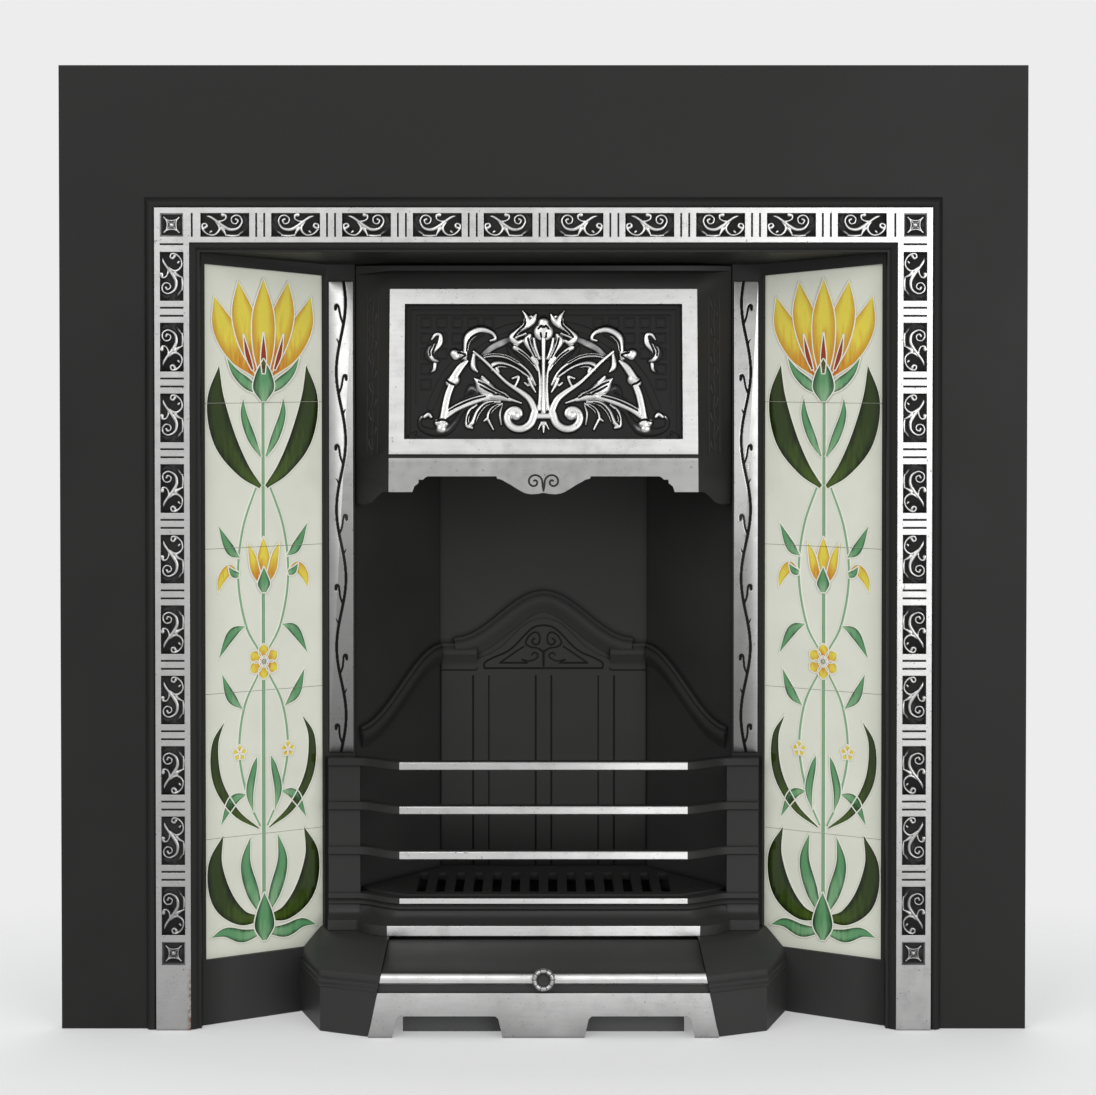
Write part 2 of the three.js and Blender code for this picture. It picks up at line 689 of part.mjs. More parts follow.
function fireBack() {
  const half = backHalf + backFlange;
  const plate = block(-half, half, backFace, backFace + fireWall, 0, fireHeight);
  const steps = 20;
  const arch = Array.from({ length: steps + 1 }, (_, i) => {
    const share = Math.abs((2 * i) / steps - 1);
    return new THREE.Vector3(((2 * i) / steps - 1) * archHalf, backFace, softFall(archTop, archFoot, share));
  });
  const shoulder = [-1, 1].map((side) => {
    const ends = [archHalf - 6, backHalf - archProud - 1]
      .map((x) => new THREE.Vector3(side * x, backFace, shoulderTop));
    return moulding(archProfile, side > 0 ? ends : ends.reverse(), axisY);
  });
  const ledge = block(-backHalf * 0.8, backHalf * 0.8, backFace - ledgeWidth, backFace + 1,
    ledgeTop - ledgeThick, ledgeTop);
  const holes = [-1, 1].flatMap((side) => backBoltHeights.map((z) => (
    bar(boltRadius + boltPlay, new THREE.Vector3(side * backBoltX, backFace - 1, z),
      new THREE.Vector3(side * backBoltX, backFace + fireWall + 1, z)))));
  return cut(join(plate, moulding(archProfile, arch, axisY), ...shoulder, ledge), ...holes);
}

// A place on the right cheek: a distance back along its inner face and a depth into its iron.
function cheekPoint(run, into) {
  return [
    cheekFront[0] + cheekAlong[0] * run + cheekAlong[1] * into,
    cheekFront[1] + cheekAlong[1] * run - cheekAlong[0] * into,
  ];
}

function cheek(side) {
  const outer = [cheekPoint(0, fireWall), cheekPoint(cheekRun, fireWall)];
  const level = (y) => [[0, y], [1, y]];
  const frontY = flangeFront + fireWall;
  const backY = backFace - gap - fireWall;
  const flangeEnd = backHalf + backFlange;
  const plan = [cheekFront, [flangeOuter, flangeFront], [flangeOuter, frontY],
    meet(outer, 0, level(frontY), 0), meet(outer, 0, level(backY), 0),
    [flangeEnd, backY], [flangeEnd, backFace - gap], cheekBack];
  const hoodClearY = wingBack + 2 * gap;
  const hoodClear = block(side * (fireHalf - 20), side * (flangeOuter + 5), flangeFront - 5, hoodClearY,
    hoodFoot - 2 * gap, fireHeight + 5);
  const steps = 12;
  const sweep = Array.from({ length: steps + 1 }, (_, i) => {
    const share = mix(0.03, 0.96, i / steps);
    const [x, y] = cheekPoint(cheekRun * (1 - share), 0);
    return new THREE.Vector3(side * x, y, softFall(shoulderTop, cheekSweepFoot, share));
  });
  const into = new THREE.Vector3(side * cheekAlong[1], -cheekAlong[0], 0);
  const ledgeEnd = cheekRun - ledgeRear;
  const ledge = [cheekPoint(ledgeFront, 1), cheekPoint(ledgeEnd, 1), cheekPoint(ledgeEnd, -ledgeWidth),
    cheekPoint(ledgeFront, -ledgeWidth)];
  const hole = (x, y0, y1, z) => bar(boltRadius + boltPlay, new THREE.Vector3(side * x, y0, z),
    new THREE.Vector3(side * x, y1, z));
  return cut(
    join(
      upright(plan, 0, fireHeight, side),
      moulding(archProfile, side > 0 ? sweep : sweep.reverse(), into),
      upright(ledge, ledgeTop - ledgeThick, ledgeTop, side),
    ),
    hoodClear,
    ...cheekBoltHeights.map((z) => hole(boltX, flangeFront - 1, frontY + 1, z)),
    ...backBoltHeights.map((z) => hole(backBoltX, backY - 1, backFace, z)),
  );
}

// ---------------------------------------------------------------- throat plate and damper

function hingeBar(radius, x0, x1, segments = 16) {
  return bar(radius, new THREE.Vector3(x0, hingeY, hingeZ), new THREE.Vector3(x1, hingeY, hingeZ), segments);
}

function throatPlate() {
  const wingFront = wingBack + 1;
  const inHood = hoodHalf - hoodWall - throatPlay;
  const half = [[hoodFaceHalf - 2 * throatPlay, hoodFaceY(throatTop) + hoodWall + throatPlay],
    [inHood - throatPlay, hoodShoulderY + throatPlay], [inHood, wingFront],
    [fireHalf + fireWall + 1, wingFront], [backHalf + backFlange, backFace + fireWall]];
  const plan = [...half, ...half.map(([x, y]) => [-x, y]).reverse()];
  const earInner = flueHalf + flapLap + earPlay;
  const earSpan = knuckleRadius + 1.5;
  const ear = (side) => block(side * earInner, side * (earInner + earThick),
    hingeY - earSpan, hingeY + earSpan, throatTop - 1, hingeZ + earSpan);
  return cut(
    join(upright(plan, throatBase, throatTop), ear(-1), ear(1)),
    block(-flueHalf, flueHalf, flueFront, flueBack, throatBase - 1, throatTop + 1),
    hingeBar(pinRadius + pinPlay, -earInner - earThick - 1, earInner + earThick + 1),
  );
}

function damperFlap() {
  const half = flueHalf + flapLap;
  const plate = block(-half, half, flueFront - flapLap, hingeY, throatTop + gap, throatTop + gap + flapThick);
  return cut(
    join(plate, hingeBar(knuckleRadius, -half + 2, half - 2)),
    hingeBar(pinRadius + pinPlay, -half - 1, half + 1),
  );
}

function damperPin() {
  const reach = flueHalf + flapLap + earPlay + earThick + 4;
  return hingeBar(pinRadius, -reach, reach);
}

// ---------------------------------------------------------------- front bars and bottom grate

// Plan line of a bar's front, right to left, straight for a half-length and canted back to the posts.
function barLine(straight) {
  const cant = new THREE.CubicBezierCurve(
    new THREE.Vector2(postInner + 3, railAtPost), new THREE.Vector2(postInner - 12, railAtPost),
    new THREE.Vector2(straight + 20, barFront + 6), new THREE.Vector2(straight, barFront),
  ).getPoints(6);
  const right = [new THREE.Vector2(postOuter, railAtPost), ...cant];
  return [...right, ...right.map((point) => new THREE.Vector2(-point.x, point.y)).reverse()];
}

// A course of iron along the bars: each [out, z, straight] point of its section has its own plan line.
function barCourse(section) {
  const lines = section.map(([out, z, straight]) => {
    const line = barLine(straight);
    return line.map((point, i) => {
      const before = point.clone().sub(line[Math.max(i - 1, 0)]).normalize();
      const after = line[Math.min(i + 1, line.length - 1)].clone().sub(point).normalize();
      const heading = before.add(after).normalize();
      const half = i > 0 && i + 1 < line.length ? heading.dot(after) : 1;
      return new THREE.Vector3(point.x - (heading.y * out) / half, point.y + (heading.x * out) / half, z);
    });
  });
  const rings = lines[0].map((_, i) => lines.map((line) => line[i]));
  const flats = new Map();
  rings.forEach((ring) => ring.forEach((point, j) => {
    flats.set(point, new THREE.Vector2(section[j][0], section[j][1]));
  }));
  return loft(rings, (point) => flats.get(point));
}

function frontBars() {
  const bars = barTops.map((top) => barCourse([[0, top - 1, barHalf], [0, top - barHeight + 1, barHalf],
    [-1, top - barHeight, barHalf], [-barDepth, top - barHeight, barHalf], [-barDepth, top, barHalf],
    [-1, top, barHalf]]));
  const foot = plinthTop + gap;
  const railTop = foot + 10.5;
  const base = barCourse([[0, baseTop, barHalf], [0, baseTop - 5.5, barHalf], [-3, baseTop - 7, barHalf],
    [-4, baseTop - 9.5, barHalf], [-2.5, baseTop - 11.5, barHalf], [-5.5, baseTop - 14, barHalf],
    [-5.5, baseTop - 18, mix(barHalf, baseHalf, 0.2)], [-2, baseTop - 22.5, mix(barHalf, baseHalf, 0.5)],
    [baseProud - 4, railTop + 1.5, mix(barHalf, baseHalf, 0.8)], [baseProud, railTop, baseHalf],
    [baseProud, foot, baseHalf], [-barDepth, foot, barHalf], [-barDepth, baseTop, barHalf]]);
  const postX = (postInner + postOuter) / 2;
  const postY = (postFace + jambFace) / 2;
  const posts = [-1, 1].flatMap((side) => [
    block(side * postInner, side * postOuter, postFace, jambFace - jambStripProud - gap, foot, barTops[0]),
    block(side * postX - spigotSize / 2, side * postX + spigotSize / 2, postY - spigotSize / 4,
      postY + spigotSize / 4, foot - spigotDrop, foot + 1),
  ]);
  return join(base, ...bars, ...posts);
}

function bottomGrate() {
  const play = gratePlay + gap;
  const front = barFront + barDepth + gratePlay;
  const half = [[barHalf - 8, front], [postInner - 8, jambFace + 0.5], cheekPoint(7, -play),
    cheekPoint(cheekRun - 4, -play)];
  const plan = [...half, ...half.map(([x, y]) => [-x, y]).reverse()];
  const slots = Array.from({ length: grateSlots }, (_, i) => {
    const x = (i - (grateSlots - 1) / 2) * slotPitch;
    const room = (cheekFront[0] - Math.abs(x) - slotWidth / 2 - 2 * play) / -cheekAlong[0];
    const back = Math.min(slotBack, cheekFront[1] + room * cheekAlong[1]);
    return block(x - slotWidth / 2, x + slotWidth / 2, slotFront, back,
      grateTop - grateThick - 1, grateTop + 1);
  });
  return cut(upright(plan, grateTop - grateThick, grateTop), ...slots);
}

// ---------------------------------------------------------------- ashpan cover, its knob, and the pan

function ashpanCover() {
  const roll = coverFront - rollProud;
  const inside = coverFront + coverWall;
  const rise = (share) => [mix(coverFront + 8, coverBack, share), mix(rollTop + 1, coverTop, share ** 1.35)];
  const shares = [0, 0.2, 0.4, 0.6, 0.8, 1];
  const top = shares.map(rise);
  const under = shares.map(rise).map(([y, z]) => [y, z - coverWall]).reverse();
  const rollMiddle = (rollFoot + rollTop) / 2;
  const section = [[coverFront, 0], [coverFront, coverPlateTop], [coverFront + 2.5, coverPlateTop + 0.5],
    [coverFront + 2.5, rollFoot - 0.5], [coverFront, rollFoot], [roll + 0.6, rollFoot + 2],
    [roll, rollMiddle - 1], [roll, rollMiddle + 1], [roll + 0.9, rollTop - 2.5],
    [coverFront + 1, rollTop - 0.5],
    ...top, ...under.slice(0, -1), [inside + 2, rollTop - coverWall], [inside + 2, coverPlateTop - 6],
    [inside, coverPlateTop - 8], [inside, 0]];
  const half = coverHalfFoot;
  const topHalf = mix(coverHalfFoot, coverHalfTop, (coverTop + 5) / coverTop);
  const clip = facing([[-half, 0], [half, 0], [topHalf, coverTop + 5], [-topHalf, coverTop + 5]],
    roll - 20, coverBack + 20);
  const ventHead = [[ventInner + ventSlope, ventTop - 3], [ventInner + ventSlope + 3, ventTop],
    [ventOuter - ventSlope - 3, ventTop], [ventOuter - ventSlope, ventTop - 3]];
  const vent = (side) => facing([[ventInner, -1], ...ventHead, [ventOuter, -1]],
    coverFront - 5, coverFront + 20, side);
  const onKnobLine = (radius, y0, y1, segments) => bar(radius,
    new THREE.Vector3(0, y0, knobHeight), new THREE.Vector3(0, y1, knobHeight), segments);
  const boss = onKnobLine(knobBossRadius, coverFront + 2, knobSeat, 24);
  const hole = onKnobLine(knobStudRadius + knobStudPlay, knobSeat - 1, inside + 10);
  const headPocket = onKnobLine(knobScrewHead + coverPlay, inside + 2, inside + 12);
  return cut(join(across(section, -half, half).intersect(clip), boss), vent(-1), vent(1), hole, headPocket);
}

// Turned knob: a ring of beads round a dished middle, drawn about Y with its back at Y = 0.
function coverKnob() {
  const beads = 16;
  const outline = [[0, -0.55], [0.3, -0.5], [0.5, -0.6], [0.56, -0.85], [0.72, -1], [0.9, -0.85], [1, -0.6],
    [0.92, -0.25], [0.6, -0.1], [0.56, 0], [0, 0]]
    .map(([r, y]) => new THREE.Vector2(r * knobRadius, y * knobLong));
  const turned = toSolid(new THREE.LatheGeometry(outline, beads * 2));
  return cut(turned, bar(knobStudRadius + knobStudPlay,
    new THREE.Vector3(0, -knobLong * 0.35, 0), new THREE.Vector3(0, 1, 0)));
}

function ashPan() {
  return cut(
    block(-panHalf, panHalf, panFront, panBack, 0, panHeight),
    block(-panHalf + panSheet, panHalf - panSheet, panFront + panSheet, panBack - panSheet,
      panSheet, panHeight + 1),
  );
}

function ashPanHandle() {
  const back = panFront - gap;
  const front = panFront - panHandleReach;
  const inner = panHandleHalf - panHandleRod;
  const plan = [[-panHandleHalf, back], [-panHandleHalf, front], [panHandleHalf, front],
    [panHandleHalf, back], [inner, back], [inner, front + panHandleRod], [-inner, front + panHandleRod],
    [-inner, back]];
  return upright(plan, panHeight * 0.6, panHeight * 0.6 + panHandleRod);
}

// ---------------------------------------------------------------- finishes

function finish(color, roughness, metalness) {
  return new THREE.MeshStandardMaterial({ color, roughness, metalness });
}

const blackIron = finish(0x2e2e2c, 0.55, 0.6);
const sootIron = finish(0x1c1c1b, 0.8, 0.4);
const brightIron = finish(0xb9b8b4, 0.35, 0.9);
const glaze = finish(0xdcdcc9, 0.12, 0);
const sheetSteel = finish(0x6d6f71, 0.45, 0.9);
const plainSteel = finish(0x8d8f90, 0.4, 0.9);

// ---------------------------------------------------------------- assembly

const fireplace = new THREE.Group();

function add(parent, name, solid, material) {
  const mesh = new THREE.Mesh(toGeometry(solid), material);
  mesh.name = name;
  parent.add(mesh);
  return mesh;
}

add(fireplace, 'front_casting', frontCasting(), blackIron);
add(fireplace, 'hood', hood(), blackIron);
add(fireplace, 'fire_back', fireBack(), sootIron);

[['left', -1], ['right', 1]].forEach(([name, side]) => {
  add(fireplace, `cheek_${name}`, cheek(side), sootIron);

  const panel = new THREE.Group();
  panel.position.set(side * jambOuter, jambFace, 0);
  panel.rotation.z = -side * splayAngle;
  fireplace.add(panel);
  for (let row = 0; row < tileRows; row += 1) {
    const glazed = add(panel, `tile_${name}_${row + 1}`, tile(), glaze);
    glazed.position.set((side * splayRun) / 2, tileFace + tileThick / 2,
      tileBase + tileSize / 2 + row * tilePitch);
  }
  add(panel, `tile_plate_${name}`, tilePlate(side), sheetSteel);
  tileScrewRuns.flatMap((run) => tileScrewHeights.map((z) => [run, z])).forEach(([run, z], i) => {
    const length = tilePlateThick + 2 * gap + tileScrewDepth;
    const screw = add(panel, `tile_screw_${name}_${i + 1}`,
      fastener(tileScrewRadius, length, tileScrewHead, 2.5, 12), plainSteel);
    screw.position.set(side * run, tileRear + 2 * gap + tilePlateThick, z);
    screw.rotation.z = Math.PI;
  });

  const boltSets = [
    ['hood_bolt', hoodBoltHeights, boltX, wingBack + gap, hoodWall + 2 * gap + boltDepth - 1],
    ['cheek_bolt', cheekBoltHeights, boltX, flangeFront + fireWall + gap, fireWall + 2 * gap + boltDepth - 1],
    ['back_bolt', backBoltHeights, backBoltX, backFace + fireWall + gap, 2 * fireWall + gap],
  ];
  boltSets.forEach(([kind, heights, x, seat, length]) => heights.forEach((z, i) => {
    const bolt = add(fireplace, `${kind}_${name}_${i + 1}`,
      fastener(boltRadius, length, boltHead, boltHeadThick, 6), plainSteel);
    bolt.position.set(side * x, seat, z);
    bolt.rotation.z = Math.PI;
  }));
});

add(fireplace, 'throat_plate', throatPlate(), sootIron);
add(fireplace, 'damper_flap', damperFlap(), sootIron);
add(fireplace, 'damper_pin', damperPin(), plainSteel);
add(fireplace, 'front_bars', frontBars(), blackIron);
add(fireplace, 'bottom_grate', bottomGrate(), sootIron);
add(fireplace, 'ashpan_cover', ashpanCover(), blackIron);

const knob = add(fireplace, 'cover_knob', coverKnob(), brightIron);
knob.position.set(0, knobSeat - gap, knobHeight);
const stud = add(fireplace, 'cover_knob_screw',
  fastener(knobStudRadius, knobStudSeat - knobSeat + knobLong * 0.25, knobScrewHead, 2.5, 12), plainSteel);
stud.position.set(0, knobStudSeat, knobHeight);
stud.rotation.z = Math.PI;

add(fireplace, 'ash_pan', ashPan(), sheetSteel);
add(fireplace, 'ash_pan_handle', ashPanHandle(), sheetSteel);

// The origin lies on the hearth, under the middle of the finished piece.
const reach = new THREE.Box3().setFromObject(fireplace);
fireplace.position.y = -(reach.min.y + reach.max.y) / 2;
const part = new THREE.Group();
part.add(fireplace);

export default part;
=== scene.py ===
import math

import bmesh
import bpy
import numpy as np
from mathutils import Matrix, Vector
from mathutils.bvhtree import BVHTree


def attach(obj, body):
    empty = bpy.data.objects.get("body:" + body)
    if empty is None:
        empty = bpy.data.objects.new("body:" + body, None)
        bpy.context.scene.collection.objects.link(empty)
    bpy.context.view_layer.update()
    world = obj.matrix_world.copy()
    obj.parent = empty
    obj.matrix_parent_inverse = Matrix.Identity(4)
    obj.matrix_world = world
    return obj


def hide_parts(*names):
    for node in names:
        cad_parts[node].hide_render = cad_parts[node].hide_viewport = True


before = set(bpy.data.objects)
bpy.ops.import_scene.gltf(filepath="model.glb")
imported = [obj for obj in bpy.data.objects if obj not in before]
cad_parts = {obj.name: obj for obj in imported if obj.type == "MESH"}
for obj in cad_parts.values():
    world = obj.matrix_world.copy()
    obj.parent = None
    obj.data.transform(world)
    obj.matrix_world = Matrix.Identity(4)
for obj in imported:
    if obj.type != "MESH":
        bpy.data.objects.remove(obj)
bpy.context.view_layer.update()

# ---------------------------------------------------------------- the room
# A pale floor that fades into the pale background, a large soft lamp high on the left, a weaker one
# low on the right, one behind, and the camera 3 m in front of the flange at the height of the hood.

FLANGE_Y = -0.09375


def node(tree, kind, inputs=None, **settings):
    """Adds one shader node. An input is a plain value or another node's output."""
    made = tree.nodes.new("ShaderNode" + kind)
    for name, value in settings.items():
        setattr(made, name, value)
    for name, value in (inputs or {}).items():
        socket = made.inputs[name]
        if isinstance(value, bpy.types.NodeSocket):
            tree.links.new(value, socket)
        else:
            socket.default_value = value
    return made


def emptied(owner):
    """The shader tree of a material or a world, with nothing in it yet."""
    owner.use_nodes = True
    owner.node_tree.nodes.clear()
    return owner.node_tree


def colour(red, green, blue):
    """A paint colour as read off a colour card, 0 to 255, for a shader."""
    return tuple(((c / 255 + 0.055) / 1.055) ** 2.4 if c > 10 else c / 3295
                 for c in (red, green, blue)) + (1,)


camera_data = bpy.data.cameras.new("camera")
camera_data.lens = 95.0
camera_data.sensor_width = 36.0
camera_data.shift_x = 0.0041
camera_data.shift_y = -0.14
camera = bpy.data.objects.new("camera", camera_data)
camera.location = (0, FLANGE_Y - 3.0, 0.728)
camera.rotation_euler = (math.radians(90 - 1.27), 0, 0)
bpy.context.collection.objects.link(camera)
bpy.context.scene.camera = camera
bpy.context.scene.view_settings.view_transform = "Standard"

for lamp_name, place, aim, size, power in (
    ("lamp_left", (-1.7, -3.2, 2.3), (0, 0, 0.45), 2.2, 45),
    ("lamp_right", (1.5, -3.0, 0.9), (0, 0, 0.40), 1.8, 37),
    ("lamp_back", (0.4, 2.6, 2.4), (0, 0, 0.5), 2.0, 26),
):
    lamp_data = bpy.data.lights.new(lamp_name, "AREA")
    lamp_data.size = size
    lamp_data.energy = power
    lamp = bpy.data.objects.new(lamp_name, lamp_data)
    lamp.location = place
    lamp.rotation_euler = (Vector(aim) - Vector(place)).to_track_quat("-Z", "Y").to_euler()
    bpy.context.collection.objects.link(lamp)

BACKGROUND = colour(237, 237, 237)
world = bpy.data.worlds.new("room")
air = emptied(world)
path = node(air, "LightPath").outputs
seen = node(air, "Math", {0: path["Is Camera Ray"], 1: path["Is Glossy Ray"]}, operation="MAXIMUM")
seen = node(air, "Math", {0: seen.outputs[0], 1: path["Is Transmission Ray"]}, operation="MAXIMUM")
daylight = node(air, "Background", {"Color": (0.97, 0.98, 1.0, 1), "Strength": 0.62})
pale = node(air, "Background", {"Color": BACKGROUND, "Strength": 1.0})
room_light = node(air, "MixShader", {0: seen.outputs[0], 1: daylight.outputs[0], 2: pale.outputs[0]})
node(air, "OutputWorld", {"Surface": room_light.outputs[0]})
bpy.context.scene.world = world

FLOOR_HALF = 4
FLOOR_BELOW = 0.0005
floor_mesh = bpy.data.meshes.new("floor")
floor_mesh.from_pydata([(x * FLOOR_HALF, y * FLOOR_HALF, 0) for x, y in ((-1, -1), (1, -1), (1, 1), (-1, 1))],
                       [], [(0, 1, 2, 3)])
floor = bpy.data.objects.new("floor", floor_mesh)
floor.location.z = -FLOOR_BELOW
bpy.context.collection.objects.link(floor)
floor_paint = bpy.data.materials.new("floor")
tree = emptied(floor_paint)
spot = node(tree, "TexCoord").outputs["Object"]
spot = node(tree, "VectorMath", {0: spot, 1: (0.5, 1.0, 1.0)}, operation="MULTIPLY").outputs[0]
far = node(tree, "VectorMath", {0: spot}, operation="LENGTH").outputs["Value"]
fade = node(tree, "MapRange", {"Value": far, "From Min": 0.27, "From Max": 0.66,
                               "To Min": 0.35, "To Max": 1.0})
face = node(tree, "BsdfDiffuse", {"Color": (0.93, 0.93, 0.93, 1)})
gone = node(tree, "BsdfTransparent")
mixed = node(tree, "MixShader", {0: fade.outputs[0], 1: face.outputs[0], 2: gone.outputs[0]})
node(tree, "OutputMaterial", {"Surface": mixed.outputs[0]})
floor_mesh.materials.append(floor_paint)

# ---------------------------------------------------------------- front casting
# One sand casting in grey iron: the flange, the splays with their tile windows, the jambs and the
# foot plinths. It is painted satin black, and the proud band of the border is ground bright.

BAND_Y = FLANGE_Y - 0.008


def noise(tree, place, scale, detail=3.0):
    return node(tree, "TexNoise", {"Vector": place, "Scale": scale, "Detail": detail}).outputs[0]


def span(tree, value, low, high, to_low=0.0, to_high=1.0):
    """Reads a value between two limits as a share between two others."""
    return node(tree, "MapRange", {"Value": value, "From Min": low, "From Max": high,
                                   "To Min": to_low, "To Max": to_high}).outputs[0]


def sums(tree, operation, first, second):
    return node(tree, "Math", {0: first, 1: second}, operation=operation).outputs[0]


def coordinate(tree, place, letter):
    return node(tree, "SeparateXYZ", {"Vector": place}).outputs[letter]


def blend(tree, share, first, second):
    """Mixes two colours; either may be a fixed colour or an output."""
    return node(tree, "Mix", {0: share, 6: first, 7: second}, data_type="RGBA").outputs[2]


def grey(shade):
    return (shade, shade, shade, 1)


def ground_metal(tree, place, polish_and_sheen, shaded_flanks, rust):
    """The colour of ground iron: streaked and tarnished, with a painted sheen that changes with the height, and
    painted shade on modelled flanks and in corners.
    """
    (low, low_shade), (high, high_shade) = polish_and_sheen
    # Painted sheen: the ground iron grows lighter or darker with height, as reflected light would make it; the
    # noise is its own uneven tone.
    sheen_and_tone = sums(tree, "ADD", span(tree, coordinate(tree, place, "Z"), low, high),
                span(tree, noise(tree, place, 14.0, 4.0), 0.3, 0.7, -0.14, 0.14))
    colours = ((shade, shade, shade * 0.995, 1) for shade in (low_shade, high_shade))
    metal = blend(tree, sheen_and_tone, *colours)
    streak = node(tree, "Mapping", {"Vector": place, "Scale": (30.0, 30.0, 400.0)}).outputs[0]
    streak = span(tree, noise(tree, streak, 1.0, 4.0), 0.35, 0.75, 0.0, 0.16)
    metal = blend(tree, streak, metal, (0.30, 0.29, 0.28, 1))
    tarnish = span(tree, noise(tree, place, 48.0, 6.0), 0.6, 0.8, 0.0, 0.3)
    metal = blend(tree, tarnish, metal, (0.27, 0.255, 0.23, 1))
    # Painted shade: flanks that turn away from the room are darkened, and only flat tops keep the metal's
    # colour.
    if shaded_flanks:
        tilt = coordinate(tree, node(tree, "TexCoord").outputs["Normal"], "Y")
        metal = blend(tree, span(tree, tilt, -0.72, -0.985), grey(0.085), metal)
    if rust:
        metal = blend(tree, rust(tree, place), metal, (0.17, 0.075, 0.03, 1))
    # Painted shade: the iron is darkened to near black in corners and creases, found by ambient occlusion.
    unshaded_share = node(tree, "AmbientOcclusion", {"Distance": 0.004}, samples=6).outputs["AO"]
    return blend(tree, span(tree, unshaded_share, 0.3, 0.86), grey(0.03), metal)


def iron(name, bright=None, dark=(0.0076, 0.0076, 0.0073, 1), light=(0.0128, 0.0128, 0.0121, 1),
         gloss=0.26, matt=(0.42, 0.6), grain=0.00011, polish_and_sheen=((0.05, 0.42), (0.86, 0.53)), shaded_flanks=False,
         shaded_grooves=False, hollow_shade=0.0, rust=None):
    """Painted sand-cast iron. Bright gives the share of the surface that is ground and polished, and the polish
    pairs give how bright the ground iron is at a low and at a high place; the change with height is a painted
    sheen.
    Modelled ornament is ground on its tops alone, and its flanks get painted shade. Sunk lines marked deep are
    painted near black as painted shade, and a share of painted shade darkens the corners. Rust gives the rusty
    share of the ground iron."""
    material = bpy.data.materials.new(name)
    tree = emptied(material)
    place = node(tree, "TexCoord").outputs["Object"]
    cloud = span(tree, noise(tree, place, 6.0, 5.0), 0.3, 0.7)
    sand = noise(tree, place, 900.0, 2.0)
    pits = span(tree, noise(tree, place, 330.0, 3.0), 0.67, 0.73)
    paint = blend(tree, cloud, dark, light)
    # The paint turns a paler grey low down in the middle: none at 0.32 m, most at 0.06 m and below, within 0.33
    # m to 0.36 m of the middle.
    within = span(tree, sums(tree, "ABSOLUTE", coordinate(tree, place, "X"), 0), 0.36, 0.33)
    paler_low_middle = sums(tree, "MULTIPLY", span(tree, coordinate(tree, place, "Z"), 0.32, 0.06, 0.0, 0.62), within)
    paint = blend(tree, paler_low_middle, paint, (0.042, 0.042, 0.041, 1))
    dull = span(tree, cloud, 0.0, 1.0, *matt)
    # Painted shade: sunk lines, marked deep on the mesh, are painted near black.
    if shaded_grooves:
        deep = node(tree, "Attribute", attribute_name="deep").outputs["Fac"]
        paint = blend(tree, deep, paint, grey(0.001))
    # Painted shade: the paint is darkened in corners and hollows, found by ambient occlusion.
    if hollow_shade:
        corner = node(tree, "AmbientOcclusion", {"Distance": 0.007}, samples=6).outputs["AO"]
        paint = blend(tree, span(tree, corner, 0.45, 0.97, hollow_shade, 0.0), paint, grey(0.0015))
    relief_share = 1.0
    metallic = 0.0
    if bright:
        smear = noise(tree, place, 75.0, 6.0)
        edge = sums(tree, "ADD", bright(tree, place), span(tree, smear, 0.2, 0.8, -0.12, 0.12))
        metallic = sums(tree, "MULTIPLY", span(tree, edge, 0.3, 0.7), span(tree, pits, 0.0, 1.0, 1.0, 0.45))
        paint = blend(tree, metallic, paint, ground_metal(tree, place, polish_and_sheen, shaded_flanks, rust))
        shine = span(tree, smear, 0.25, 0.75, 0.24, 0.38)
        dull = node(tree, "Mix", {0: metallic, 2: dull, 3: shine}, data_type="FLOAT").outputs[0]
        relief_share = span(tree, metallic, 0.0, 1.0, 1.0, 0.25)
    height = sums(tree, "SUBTRACT", sand, span(tree, pits, 0.0, 1.0, 0.0, 0.5))
    height = sums(tree, "MULTIPLY", height, relief_share)
    edge_round = node(tree, "Bevel", {"Radius": 0.0008}, samples=4).outputs[0]
    skin = node(tree, "Bump", {"Height": height, "Strength": 0.55, "Distance": grain, "Normal": edge_round})
    face = node(tree, "BsdfPrincipled", {"Base Color": paint, "Metallic": metallic, "Roughness": dull,
                                         "Specular IOR Level": gloss, "Normal": skin.outputs[0]})
    node(tree, "OutputMaterial", {"Surface": face.outputs[0]})
    return material


EDGE_BLUR = 0.0004


def ground(tree, place, normal, depth, half=None, low=None, high=None):
    """Share of the iron that is ground bright: what stands further out along a normal than a depth, and faces
    that way, within a half width and between two heights."""
    facing = node(tree, "VectorMath", {0: node(tree, "TexCoord").outputs["Normal"], 1: normal},
                  operation="DOT_PRODUCT").outputs["Value"]
    out = node(tree, "VectorMath", {0: place, 1: normal}, operation="DOT_PRODUCT").outputs["Value"]
    limits = [span(tree, out, depth, depth + 0.0003)]
    if half:
        across = sums(tree, "ABSOLUTE", coordinate(tree, place, "X"), 0)
        limits.append(span(tree, across, half, half - 0.0006))
    if low:
        limits.append(span(tree, coordinate(tree, place, "Z"), low, low + EDGE_BLUR))
    if high:
        limits.append(span(tree, coordinate(tree, place, "Z"), high, high - EDGE_BLUR))
    share = span(tree, facing, 0.35, 0.6)
    for limit in limits:
        share = sums(tree, "MULTIPLY", share, limit)
    return share


TO_ROOM = (0, -1, 0)


def band_ground(tree, place):
    """The border's band, which lies beside the tiles and above them; the plinths stay painted."""
    beside = span(tree, sums(tree, "ABSOLUTE", coordinate(tree, place, "X"), 0), 0.33, 0.331)
    above = span(tree, coordinate(tree, place, "Z"), 0.7, 0.701)
    on_border = sums(tree, "MAXIMUM", beside, above)
    return sums(tree, "MULTIPLY", ground(tree, place, TO_ROOM, -BAND_Y - 0.0006), on_border)


def by_mark(tree, place):
    """Bright as marked on the piece's own mesh."""
    return node(tree, "Attribute", attribute_name="bright").outputs["Fac"]


